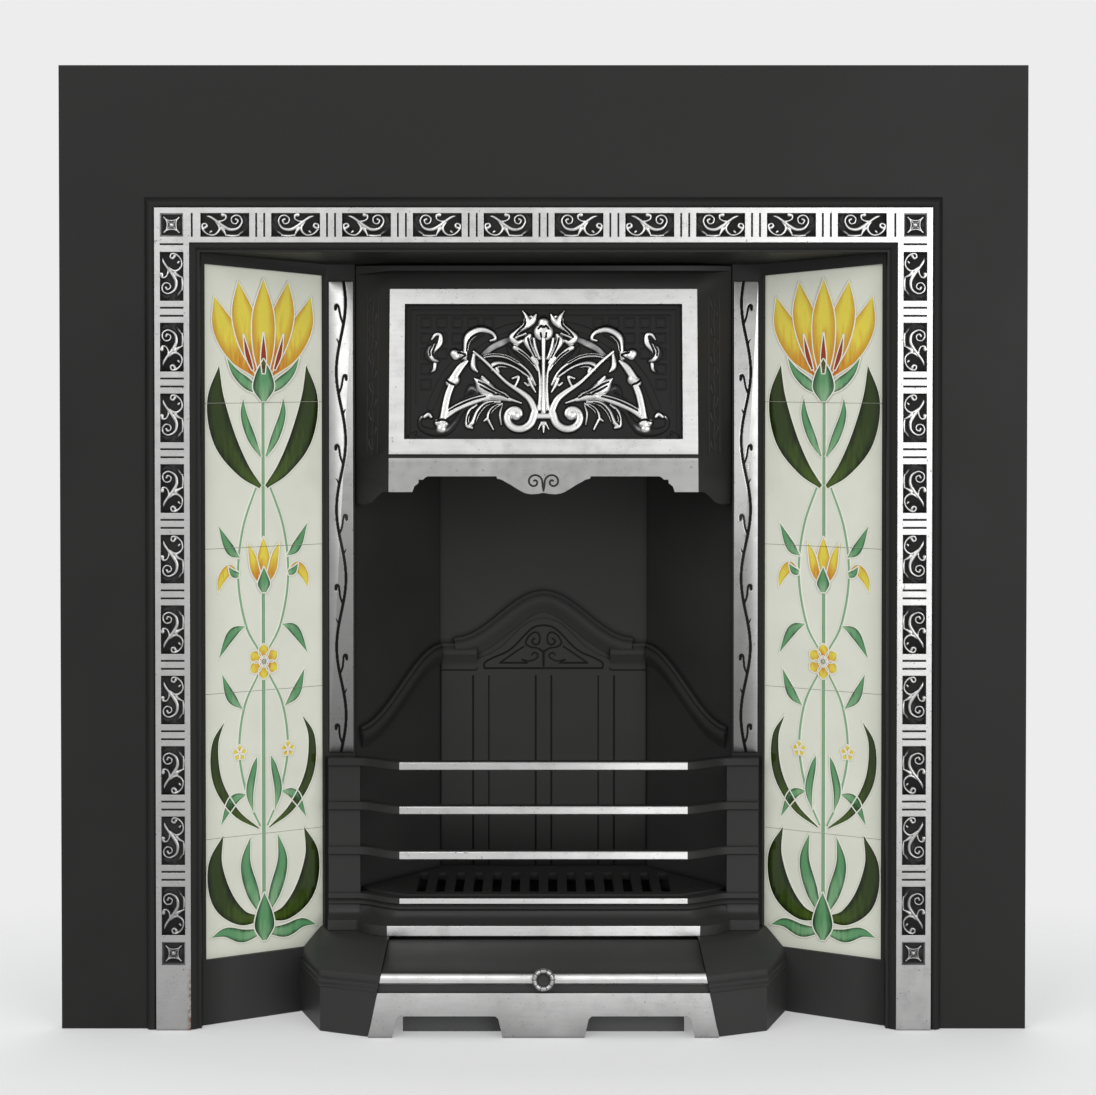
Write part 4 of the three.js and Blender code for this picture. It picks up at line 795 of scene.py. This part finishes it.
# The drawing's own unit is PEN millimetres, with its zero in the window's middle. Each stroke has a
# mirror image.
PEN = 0.2347
FLAT_STROKE, ROUND_STROKE = 1.25, 1.5
VEIN_DEEP = 2.6
hood_us = np.arange(-WINDOW_HALF[0], WINDOW_HALF[0] + 0.1, 0.5)
hood_vs = np.arange(-WINDOW_HALF[1], WINDOW_HALF[1] + 0.1, 0.5)
hood_field = np.zeros((len(hood_vs), len(hood_us)))
left_eye = scroll((120, -198), (14, 78), (30, 365), (16, 18), 4.2)
left_eye = [(240 - x, y, w, h) for x, y, w, h in left_eye]
for stroke, crown in (
    # ground: the low arch, the lines inside the frame and the faint squares
    ([(510, -160, 14, 1), (445, -20, 14, 1), (325, 110, 14, 1), (175, 195, 14, 1), (-1, 225, 14, 1)], 6),
    ([(596, -300, 3, 0.7), (596, 281, 3, 0.7)], 3), ([(596, 281, 3, 0.7), (-1, 281, 3, 0.7)], 3),
    ([(572, -140, 3, 0.7), (572, 256, 3, 0.7)], 3), ([(572, 256, 3, 0.7), (-1, 256, 3, 0.7)], 3),
    # the C-scroll with its arm, its strap and its arch
    (left_eye + [(40, -172, 16, 4.2), (62, -125, 15, 4.2), (100, -92, 13, 4), (170, -45, 9, 4.2),
      (255, 40, 9, 4.6), (315, 92, 7, 4.4)], 3.2), ([(124, -196, 19, 4.6), (127, -194, 19, 4.6)], 2),
    ([(-30, -200, 14, 4), (30, -200, 14, 4)], 3.2),
    ([(352, 60, 7, 3.4), (350, 120, 12, 4.6), (335, 165, 17, 4.9), (285, 192, 15, 4.9),
      (235, 180, 10, 4.6), (217, 152, 8, 4.4), (240, 142, 6, 3.8)], 2),
    ([(360, 72, 15, 4.6), (366, 80, 16, 4.8)], 2), ([(396, 74, 16, 4.2), (402, 84, 17, 4.4)], 2),
    ([(312, 100, 5, 3), (318, 30, 12, 4.2), (298, 0, 5, 3.6)], 2),
    ([(455, -240, 15, 4.6), (448, -190, 16, 4.6), (432, -110, 16, 4.6), (412, -55, 15, 4.6)], 4),
    ([(418, -46, 20, 4.9), (402, -34, 20, 4.9)], 2),
    ([(408, -30, 17, 4.6), (375, 20, 16, 4.6), (345, 48, 8, 4.2)], 4),
    ([(290, 62, 10, 2.1), (240, 105, 14, 2.3), (190, 132, 15, 2.3), (150, 150, 13, 2.1)], 6),
    ([(455, -210, 15, 4), (395, -165, 17, 4.2), (320, -132, 17, 4), (245, -112, 14, 3.6),
      (180, -114, 8, 3)], 4),
    # fronds and leaves on the side
    ([(280, 66, 7, 3.8), (230, 74, 8, 4.2), (165, 66, 8, 4.2), (100, 30, 7, 4), (60, -10, 6, 3.8),
      (36, -60, 5, 3.4)], 2),
    ([(232, 8, 7, 3.6), (226, 30, 14, 4.2), (190, 36, 13, 4.2), (140, 24, 8, 4), (90, -6, 6, 3.6),
      (44, -40, 4, 3.2)], 2), ([(216, 28, 8, 3.6), (206, 4, 9, 4), (200, -20, 6, 3.6)], 2),
    ([(312, -30, 4, 3.2), (288, -48, 16, 4.4), (262, -72, 26, 4.6), (225, -90, 17, 4.4),
      (165, -118, 10, 4.2), (100, -142, 5, 3.6)], 2), ([(276, -22, 7, 3.8), (250, -48, 9, 4)], 2),
    ([(236, -110, 12, 4.2), (190, -108, 18, 4.4), (150, -128, 8, 4)], 2),
    ([(352, -104, 5, 1.8), (326, -74, 13, 2.2), (300, -96, 9, 2.1), (372, -128, 4, 1.6)], 2),
    ([(140, -30, 6, 3.6), (112, -22, 7, 4), (120, -50, 7, 4), (132, -74, 6, 4), (116, -88, 6, 3.8)], 2),
    ([(66, -30, 9, 4), (54, -60, 8, 3.8), (36, -92, 5, 3.4)], 2), ([(84, -50, 6, 3.4), (70, -62, 6, 3.4)], 2),
    ([(196, -136, 5, 3.2), (250, -140, 10, 3.8), (292, -176, 11, 4), (318, -228, 10, 4.2),
      (338, -244, 7, 4)], 2),
    ([(186, -144, 5, 3.2), (228, -166, 9, 3.8), (250, -206, 8, 4), (226, -262, 5, 3.6)], 2),
    ([(256, -214, 7, 3.8), (268, -224, 5, 3.6)], 2),
    ([(300, -150, 4, 2.8), (335, -180, 8, 3.4), (345, -240, 9, 3.8), (322, -254, 7, 3.6)], 2),
    ([(184, -150, 4, 2.4), (196, -190, 6, 2.6), (190, -240, 5, 2.4)], 2),
    # stem, flower and petals
    ([(0, -180, 11, 4), (0, -60, 8, 4), (0, 60, 9, 4.2), (0, 150, 11, 4.4)], 2.2),
    ([(20, -170, 8, 3.6), (16, -60, 6, 3.4), (24, 20, 6, 3.4), (52, 66, 6, 3.4)], 2),
    ([(-1, 184, 32, 4.6), (1, 184, 32, 4.6)], 2.4), ([(0, 210, 22, 4.9), (0, 226, 20, 4.8)], 2),
    ([(96, 280, 3, 3.2), (76, 250, 11, 4.6), (80, 214, 14, 4.6), (118, 186, 11, 4.4), (142, 158, 14, 4.6),
      (120, 134, 12, 4.4), (98, 142, 8, 4)], 2),
    ([(34, 262, 6, 3.8), (50, 234, 14, 4.6), (70, 208, 9, 4.2)], 2),
    ([(56, 254, 6, 4), (40, 240, 9, 4.2)], 2),
    ([(128, 156, 6, 3.6), (96, 168, 6, 3.8), (80, 176, 5, 3.6)], 2),
    ([(62, 168, 9, 4.2), (74, 140, 15, 4.5), (52, 92, 9, 4.2), (24, 40, 6, 3.8)], 2),
    ([(44, 152, 7, 4), (36, 110, 8, 4), (18, 60, 6, 3.8)], 2),
    ([(128, 112, 12, 4.2), (98, 92, 10, 4.2), (60, 56, 7, 4), (26, 6, 5, 3.6)], 2),
    ([(160, 112, 6, 1.8), (140, 78, 9, 2.1), (96, 42, 7, 1.9)], 2),
    # corner tail with its cup, centre drop and the sprig at the side
    ([(506, -204, 8, 4.2), (518, -192, 9, 4.4), (536, -204, 8, 4)], 2),
    ([(530, -194, 6, 3), (556, -214, 7, 2.2), (552, -252, 8, 2), (505, -272, 12, 2), (440, -266, 15, 2.2),
      (400, -232, 11, 2.1), (370, -186, 7, 2), (330, -150, 4, 1.8)], 2),
    ([(478, -232, 12, 4.6), (440, -236, 12, 4.6)], 2), ([(462, -256, 17, 4.6), (456, -258, 17, 4.6)], 2),
    ([(575, -276, 5, 1.6), (600, -296, 8, 1.4), (560, -298, 5, 1.2)], 2),
    ([(-6, -232, 9, 3), (6, -232, 9, 3)], 2), ([(0, -246, 8, 3.4), (0, -276, 4, 2.6)], 2),
    ([(14, -240, 5, 3), (24, -262, 4, 2.6)], 2),
    ([(505, 148, 6, 2.4), (488, 170, 8, 2.7), (466, 168, 8, 2.8), (470, 130, 13, 2.8), (506, 96, 17, 2.8),
      (500, 60, 12, 2.6), (476, 48, 7, 2.2)], 2),
    ([(516, 112, 8, 2.2), (528, 80, 9, 2.1), (516, 52, 5, 2)], 2),
    ([(490, 36, 9, 2.7), (494, 10, 8, 2.5), (512, -4, 4, 2)], 2),
):
    press_pair(hood_field, hood_us, hood_vs, stroke, crown, PEN, FLAT_STROKE if crown > 3 else ROUND_STROKE)

# Veins and parting lines, cut into the leaves and petals with a narrow tool.
hood_veins = np.zeros(hood_field.shape)
for vein in (
    [(480, 138, 3, 0.8), (492, 112, 4.5, 1), (500, 84, 4.5, 1), (488, 62, 3, 0.8)],
    [(500, 122, 2.5, 0.7), (513, 98, 3.5, 0.9), (512, 74, 3, 0.7)],
    [(346, 96, 3, 0.8), (340, 132, 4.5, 1), (318, 160, 4.5, 1), (284, 174, 4.5, 1), (250, 170, 3, 0.8)],
    [(372, 60, 3, 0.8), (352, 76, 4, 1), (384, 88, 4, 1)],
    [(-24, 196, 3, 0.8), (-12, 208, 4.5, 1), (0, 203, 4.5, 1), (12, 208, 4.5, 1), (24, 196, 3, 0.8)],
    [(13, 176, 3.5, 0.9), (11, 158, 4, 1)],
    [(70, 152, 3.5, 0.9), (58, 112, 4, 1), (36, 66, 3, 0.8)],
    [(84, 240, 3, 0.8), (86, 212, 4.5, 1), (116, 180, 4.5, 1), (134, 158, 3, 0.8)],
    [(294, -46, 3, 0.8), (262, -60, 4.5, 1), (226, -82, 4.5, 1), (176, -106, 3.5, 0.9)],
    [(286, -66, 3, 0.8), (254, -84, 4.5, 1), (222, -98, 4, 0.9)],
    [(222, -104, 3, 0.8), (190, -104, 4.5, 1), (160, -118, 3.5, 0.9)],
    [(226, 20, 3.5, 0.9), (196, 30, 4.5, 1), (150, 20, 4, 1), (104, -4, 3, 0.8)],
    [(270, 70, 3, 0.8), (222, 78, 3.5, 0.9), (166, 69, 3.5, 0.9), (112, 40, 3, 0.8)],
    [(226, -140, 3, 0.8), (262, -152, 4, 1), (292, -186, 4, 1), (308, -228, 3, 0.8)],
    [(206, -152, 3, 0.8), (234, -176, 4, 1), (244, -212, 3, 0.8)],
    [(322, -172, 3, 0.8), (340, -206, 3.5, 0.9), (340, -240, 3, 0.8)],
    [(424, -176, 3, 0.8), (378, -152, 4, 0.9), (322, -128, 4, 0.9), (262, -112, 3, 0.8)],
    [(400, -60, 3.5, 1), (424, -50, 4.5, 1), (440, -36, 3.5, 1)],
    [(434, -222, 3.5, 1), (458, -218, 4.5, 1), (484, -224, 3.5, 1)],
    [(112, 96, 3, 0.8), (78, 72, 4, 0.9), (46, 36, 3, 0.8)],
):
    press_pair(hood_veins, hood_us, hood_vs, vein, scale=PEN)
hood_field = np.where(hood_field > 1.2, np.maximum(hood_field - VEIN_DEEP * hood_veins, 0.9), hood_field)

# Faint squares fill the corners over the arch.
arch_line = np.interp(hood_us, np.array((-510, -445, -325, -175, 0, 175, 325, 445, 510)) * PEN,
                      np.array((-160, -20, 110, 195, 225, 195, 110, -20, -160)) * PEN)
SQUARE_HALF = 22 * PEN
for column in range(5):
    for row in range(6):
        u, v = (530 - column * 70.5) * PEN, (222 - row * 70) * PEN
        if v - SQUARE_HALF < np.interp(u - SQUARE_HALF, hood_us, arch_line) + 3:
            continue
        ring = [(u + way * SQUARE_HALF, v + up * SQUARE_HALF, 0.9, 0.9)
                for way, up in ((-1, -1), (1, -1), (1, 1), (-1, 1), (-1, -1))]
        for a, b in zip(ring, ring[1:]):
            press_pair(hood_field, hood_us, hood_vs, [a, b])

hood_bright = np.clip((hood_field - 1.7) / 1.3, 0, 1)


def in_window(u, v, height):
    return on_hood(u, v + WINDOW_MIDDLE, height - FIELD_DEEP + 0.05)


# The scrollwork's flanks get painted shade, and its polish pairs paint a sheen that brightens with height.
scrollwork_iron = iron("scrollwork_iron", by_mark, gloss=0.19, matt=(0.5, 0.68),
                       polish_and_sheen=((0.6, 0.56), (0.76, 0.62)), shaded_flanks=True)
hood_relief = cast_relief("hood_scrollwork", [relief_body(hood_field, hood_us, hood_vs, in_window, 1.0)],
                          scrollwork_iron, [hood_bright])
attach(hood_relief, "fireplace")

# Two coils meet over the drop in the middle of the valance.
SPIRAL_X = 9.6
SPIRAL_UP = WINDOW_MIDDLE - 117.5
SPIRAL_SUNK = 0.5
spiral_us = np.arange(-22, 22.1, 0.3)
spiral_vs = np.arange(-11, 11.1, 0.3)
spiral_field = np.zeros((len(spiral_vs), len(spiral_us)))
coil = scroll((-SPIRAL_X, 0), (1.2, 8.7), (110, -372), (1.2, 1.2), 1)
press_pair(spiral_field, spiral_us, spiral_vs, coil + [(-1, -4.5, 1.1, 1), (-0.3, -9.6, 0.8, 1)])
spiral_field -= SPIRAL_SUNK


def on_valance(u, v, height):
    return on_hood(u, v + SPIRAL_UP, height + FRAME_PROUD)


spirals = cast_relief("valance_spirals", [relief_body(spiral_field, spiral_us, spiral_vs, on_valance, 1.0)],
                      iron("spiral_paint"), [np.zeros(spiral_field.size)])
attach(spirals, "fireplace")

# A leaf strip runs up each canted side of the hood, cast on and left black.
# The side's front edge leans and its back edge stands upright, so the strip is laid on the real face.
CANT_MIDDLE = 182.0
CANT_ALONG = (0.613, 0.79)
LEAVES, LEAF_PITCH, FIRST_LEAF = 11, 15, 600
LEAF_SUNK = 0.6
hood_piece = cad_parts["hood"]
hood_skin = BVHTree.FromPolygons([hood_piece.matrix_world @ corner.co for corner in hood_piece.data.vertices],
                                 [tuple(side.vertices) for side in hood_piece.data.polygons])
leaf_us = np.arange(-11, 11.1, 0.5)
leaf_vs = np.arange(596, 768.1, 0.6)
leaf_field = np.zeros((len(leaf_vs), len(leaf_us)))
press_pair(leaf_field, leaf_us, leaf_vs, [(10, 597, 0.8, 1.2), (10, 767, 0.8, 1.2)])
for leaf in range(LEAVES):
    way = 1 if leaf % 2 else -1
    root = FIRST_LEAF + leaf * LEAF_PITCH
    for stroke in ([(0, -6, 0.9, 1.3), (-1.2, 2, 1, 1.3), (0, 9, 0.9, 1.3)],
                   [(0, 0, 0.8, 1.4), (3.5, 3, 2.3, 1.9), (6.5, 8, 1.8, 1.8), (5, 12, 0.8, 1.3)]):
        press(leaf_field, leaf_us, leaf_vs, [(way * u, root + v, w, h) for u, v, w, h in stroke])
leaf_field -= LEAF_SUNK
for side_name, side in (("left", -1), ("right", 1)):
    def on_cant(u, v, height, side=side):
        x = side * CANT_MIDDLE / 1000 + u * CANT_ALONG[0] / 1000
        y = np.array([hood_skin.ray_cast((at, -1, up / 1000), (0, 1, 0))[0].y for at, up in zip(x, v)])
        out = height / 1000
        return np.stack([x + side * out * CANT_ALONG[1], y - out * CANT_ALONG[0], v / 1000], -1)
    # The leaves take the hood's lighter copy of the paint: painted light.
    strip = cast_relief("hood_leaves_" + side_name, [relief_body(leaf_field, leaf_us, leaf_vs, on_cant, 2.0)],
                        iron("lit_leaf_paint_" + side_name, **LIT_HOOD_PAINT), [np.zeros(leaf_field.size)])
    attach(strip, "fireplace")

# The joint over the hood is stopped from behind with fire cement, pressed in by thumb.
# The cement's dark fill also stands in for shade behind the joint, where the pale background would show
# through.
SEAL_BACK = 107
seal_field = 1.2 + 0.5 * np.sin(np.arange(120) * 0.9)[None, :] * np.sin(np.arange(4) + 1.0)[:, None]


def behind_hood(u, v, height):
    return np.stack([u / 1000, FLANGE_Y + (SEAL_BACK - height) / 1000, v / 1000], -1)


seal_points, seal_faces = relief_body(seal_field, np.linspace(-212, 212, 120), np.linspace(785.5, 799.5, 4),
                                      behind_hood, 2.0)
seal = new_piece("hood_cement_and_shade", seal_points, seal_faces, iron("fire_cement", gloss=0.1, matt=(0.85, 0.95)))
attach(seal, "fireplace")

# ---------------------------------------------------------------- firebox
# Fireback and cheeks are plain cast plates with a moulding, unpainted and dulled by soot and heat.
# The back carries a small cartouche under the arch and sunk lines like boarding below it.

# The soot iron gets painted shade in its corners and hollows.
SOOT = {"dark": (0.0225, 0.0225, 0.0217, 1), "light": (0.0365, 0.0361, 0.0345, 1), "gloss": 0.2,
        "matt": (0.62, 0.85), "grain": 0.00016, "hollow_shade": 0.85}
# The cheeks take a darker copy of the soot iron than the back: painted shade on the cheeks.
SHADED_CHEEK_SOOT = {**SOOT, "dark": (0.0165, 0.0165, 0.016, 1), "light": (0.0265, 0.0262, 0.025, 1)}
soot = iron("soot_iron", **SOOT)
shaded_cheek_soot = iron("shaded_cheek_soot", **SHADED_CHEEK_SOOT)
for name, finish in (("fire_back", soot), ("throat_plate", soot), ("damper_flap", soot),
                     ("cheek_left", shaded_cheek_soot), ("cheek_right", shaded_cheek_soot)):
    finish_node(name, finish)

BACK_Y = 0.13525
ARCH_HALF = 74.3
LEDGE_Z = 347.5
MOULDING_TOP, MOULDING_HIGH = 378, 24
BOARD_FOOT, BOARD_TOP = 128, 341
back_us = np.concatenate([np.linspace(-115, -80, 20), np.arange(-79.5, 79.6, 0.6), np.linspace(80, 115, 20)])
back_vs = np.concatenate([[128, 200, 270, 330], np.arange(337, 408, 0.6)])
back_cut = np.zeros((len(back_vs), len(back_us)))
u_grid, v_grid = np.meshgrid(back_us, back_vs)
arch_top = np.interp(np.abs(back_us), (0, 9, 18, 27.4, 38, 47.5, 60, ARCH_HALF, 115),
                     (405.7, 404.4, 400.4, 393.3, 382.6, 373.2, 365.4, 359.8, LEDGE_Z))[None, :]
down = (MOULDING_TOP - v_grid) / MOULDING_HIGH
shoulder = 0.2 + 7 * np.interp(down, (-0.001, 0, 0.1, 0.2, 0.33, 0.5, 0.7, 0.9, 1, 1.25),
                               (-0.1, 0.55, 0.8, 0.6, 0.95, 1, 0.6, 0.25, 0.13, 0.13))
on_plate = (v_grid < arch_top) & ((np.abs(u_grid) < ARCH_HALF) | (v_grid < LEDGE_Z))
raised = np.where(on_plate, 1.1, -0.4)
for width, height, stroke in (
    # the frame in the arch and its inner lines
    (1, 1, [(ARCH_HALF, 349), (ARCH_HALF, 349.2)]),
    (0.9, 1, [(66, 349.5), (66, 355.5), (56, 361.5), (42, 367.5), (31, 376), (20, 388), (10, 395.8),
              (-1, 398)]),
    (0.9, 1, [(66, 349.5), (-1, 349.5)]),
    (0.8, 1, [(49, 355.5), (34, 366), (22, 374)]),
    (0.8, 1, [(49, 355.5), (18, 355.5)]),
    # the ledge and the sunk lines between the boards
    (0.9, 1, [(115, LEDGE_Z), (76, LEDGE_Z)]),
    (0.85, 1, [(61.2, BOARD_FOOT), (61.2, BOARD_TOP)]),
    (0.85, 1, [(78.8, BOARD_FOOT), (78.8, BOARD_TOP)]),
    (0.85, 1, [(8.8, BOARD_FOOT), (8.8, BOARD_TOP)]),
):
    press_pair(back_cut, back_us, back_vs, [(u, v, width, height) for u, v in stroke])
# the small curls, the stem between them and the heart of spirals over it
for stroke in (
    [(18, 355.5, 0.8, 0.9), (24, 359, 0.9, 0.9), (16, 357.5, 0.8, 0.9), (9, 360, 0.8, 0.9),
     (6, 364, 0.8, 0.9), (10, 367, 0.8, 0.9), (13, 364.5, 0.8, 0.9)],
    [(0, 352, 1, 0.9), (0, 368, 1.4, 0.9)],
    [(0, 368, 1.2, 0.9), (7, 372, 0.9, 0.9), (15, 373.5, 0.9, 0.9), (20, 378, 0.9, 0.9), (16, 386, 0.9, 0.9),
     (9, 390, 0.9, 0.9), (4.5, 386, 0.9, 0.9), (5, 378, 0.9, 0.9), (10, 376, 0.9, 0.9), (13, 380, 0.9, 0.9),
     (10, 383, 0.9, 0.9)],
):
    press_pair(back_cut, back_us, back_vs, stroke)
on_moulding = (np.abs(u_grid) > ARCH_HALF) & (v_grid > LEDGE_Z) & (v_grid < MOULDING_TOP)
back_field = np.where(on_moulding, shoulder, raised) - back_cut


def on_back(u, v, height):
    return np.stack([u / 1000, BACK_Y - height / 1000, v / 1000], -1)


# Its sunk lines are marked deep and painted near black: painted shade in the grooves.
cartouche = cast_relief("fireback_cartouche", [relief_body(back_field, back_us, back_vs, on_back, 1.5)],
                        iron("cartouche_iron_line_shade", shaded_grooves=True, **SOOT), [np.clip(back_cut * 1.6, 0, 1)], "deep")
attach(cartouche, "fireplace")

# ---------------------------------------------------------------- bars and grate
# The bars and their base rail are one loose casting, ground bright along the straight fronts. The
# bottom grate lies loose behind them.

BAR_FRONT_Y = FLANGE_Y + 0.096 - 0.0461
BAR_HALF, RAIL_HALF = 0.1528, 0.1655


def bars_ground(tree, place):
    bars = ground(tree, place, TO_ROOM, -BAR_FRONT_Y - 0.0012, half=BAR_HALF, low=0.1196)
    rail = ground(tree, place, TO_ROOM, -BAR_FRONT_Y + 0.0098, half=RAIL_HALF, high=0.0994)
    return sums(tree, "MAXIMUM", bars, rail)


# The polish pairs paint a sheen that fades from the rail up the bars.
finish_node("front_bars", iron("bar_iron", bars_ground, polish_and_sheen=((0.09, 0.78), (0.27, 0.50))))
finish_node("bottom_grate", iron("grate_iron", matt=(0.55, 0.75), gloss=0.2))

# ---------------------------------------------------------------- ashpan cover
# A loose casting that hides the ash pan. The front plate and the roll above it are ground bright, and
# the hollow top is painted. The knob is turned, its rim cut into beads and polished.

COVER_FRONT_Y = FLANGE_Y - 0.040


def cover_ground(tree, place):
    plate = ground(tree, place, TO_ROOM, -COVER_FRONT_Y - 0.0008, high=0.0464)
    roll = ground(tree, place, TO_ROOM, -COVER_FRONT_Y - 0.0012, low=0.0545, high=0.0672)
    return sums(tree, "MAXIMUM", plate, roll)


# The polish pairs paint a sheen that brightens towards the top of the cover.
finish_node("ashpan_cover", iron("cover_iron", cover_ground, polish_and_sheen=((0.0, 0.33), (0.062, 0.76))))
finish_node("cover_knob_screw", iron("screw_steel", dark=(0.10, 0.10, 0.10, 1), light=(0.16, 0.16, 0.16, 1)))

KNOB_MIDDLE_Z = 0.062
KNOB_BACK_Y = FLANGE_Y - 0.04385
KNOB_RADIUS, KNOB_LONG = 0.0119, 0.0088
KNOB_BEADS, STEPS_A_BEAD = 10, 12
BEAD_CUT = 0.24
knob_turns = STEPS_A_BEAD * KNOB_BEADS
knob_points, knob_marks, knob_faces = [], [], []
for radius, out, bright in (
    (0.05, 0.50, 0), (0.3, 0.46, 0), (0.5, 0.5, 0), (0.55, 0.62, 0.1), (0.59, 0.84, 1), (0.72, 0.97, 1),
    (0.82, 0.99, 1), (0.92, 0.86, 1), (0.985, 0.64, 0.8), (1, 0.5, 0.2), (0.93, 0.2, 0), (0.6, 0.06, 0),
    (0.56, 0, 0), (0.05, 0, 0),
):
    for step in range(knob_turns):
        turn = 2 * math.pi * step / knob_turns
        notch = bright >= 0.1 and step % STEPS_A_BEAD == 0
        deep = out - BEAD_CUT * notch * bright
        knob_points.append((radius * KNOB_RADIUS * math.cos(turn), KNOB_BACK_Y - deep * KNOB_LONG,
                            KNOB_MIDDLE_Z + radius * KNOB_RADIUS * math.sin(turn)))
        knob_marks.append(bright * (1 - 1.3 * notch))
knob_rings = len(knob_points) // knob_turns
for ring in range(knob_rings - 1):
    for step in range(knob_turns):
        a, b = ring * knob_turns + step, ring * knob_turns + (step + 1) % knob_turns
        knob_faces.append((a, b, b + knob_turns, a + knob_turns))
knob_faces.append(list(range(knob_turns))[::-1])
knob_faces.append(list(range((knob_rings - 1) * knob_turns, knob_rings * knob_turns)))
knob = new_piece("beaded_knob", knob_points, knob_faces, iron("knob_iron", by_mark))
knob.data.attributes.new("bright", "FLOAT", "POINT").data.foreach_set("value", knob_marks)
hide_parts("cover_knob")
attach(knob, "cover")

# ---------------------------------------------------------------- ash pan
# A folded sheet steel tray under the grate, with a wire handle. It is hidden by the cover.

sheet = iron("sheet_steel", dark=(0.07, 0.072, 0.075, 1), light=(0.13, 0.13, 0.135, 1), gloss=0.4,
             matt=(0.35, 0.55), grain=0.00005)
for name in ("ash_pan", "ash_pan_handle", "tile_plate_left", "tile_plate_right"):
    finish_node(name, sheet)

# ---------------------------------------------------------------- fixings
# Plain zinc plated steel screws and bolts, gone grey, and the damper's iron pin.

zinc = iron("zinc_steel", dark=(0.16, 0.16, 0.155, 1), light=(0.27, 0.27, 0.26, 1), gloss=0.6,
            matt=(0.3, 0.5), grain=0.00004)
finish_node("damper_pin", zinc)
for side_name in ("left", "right"):
    for number in range(1, 5):
        finish_node(f"tile_screw_{side_name}_{number}", zinc)
    for kind in ("hood_bolt", "cheek_bolt", "back_bolt"):
        for number in (1, 2):
            finish_node(f"{kind}_{side_name}_{number}", zinc)
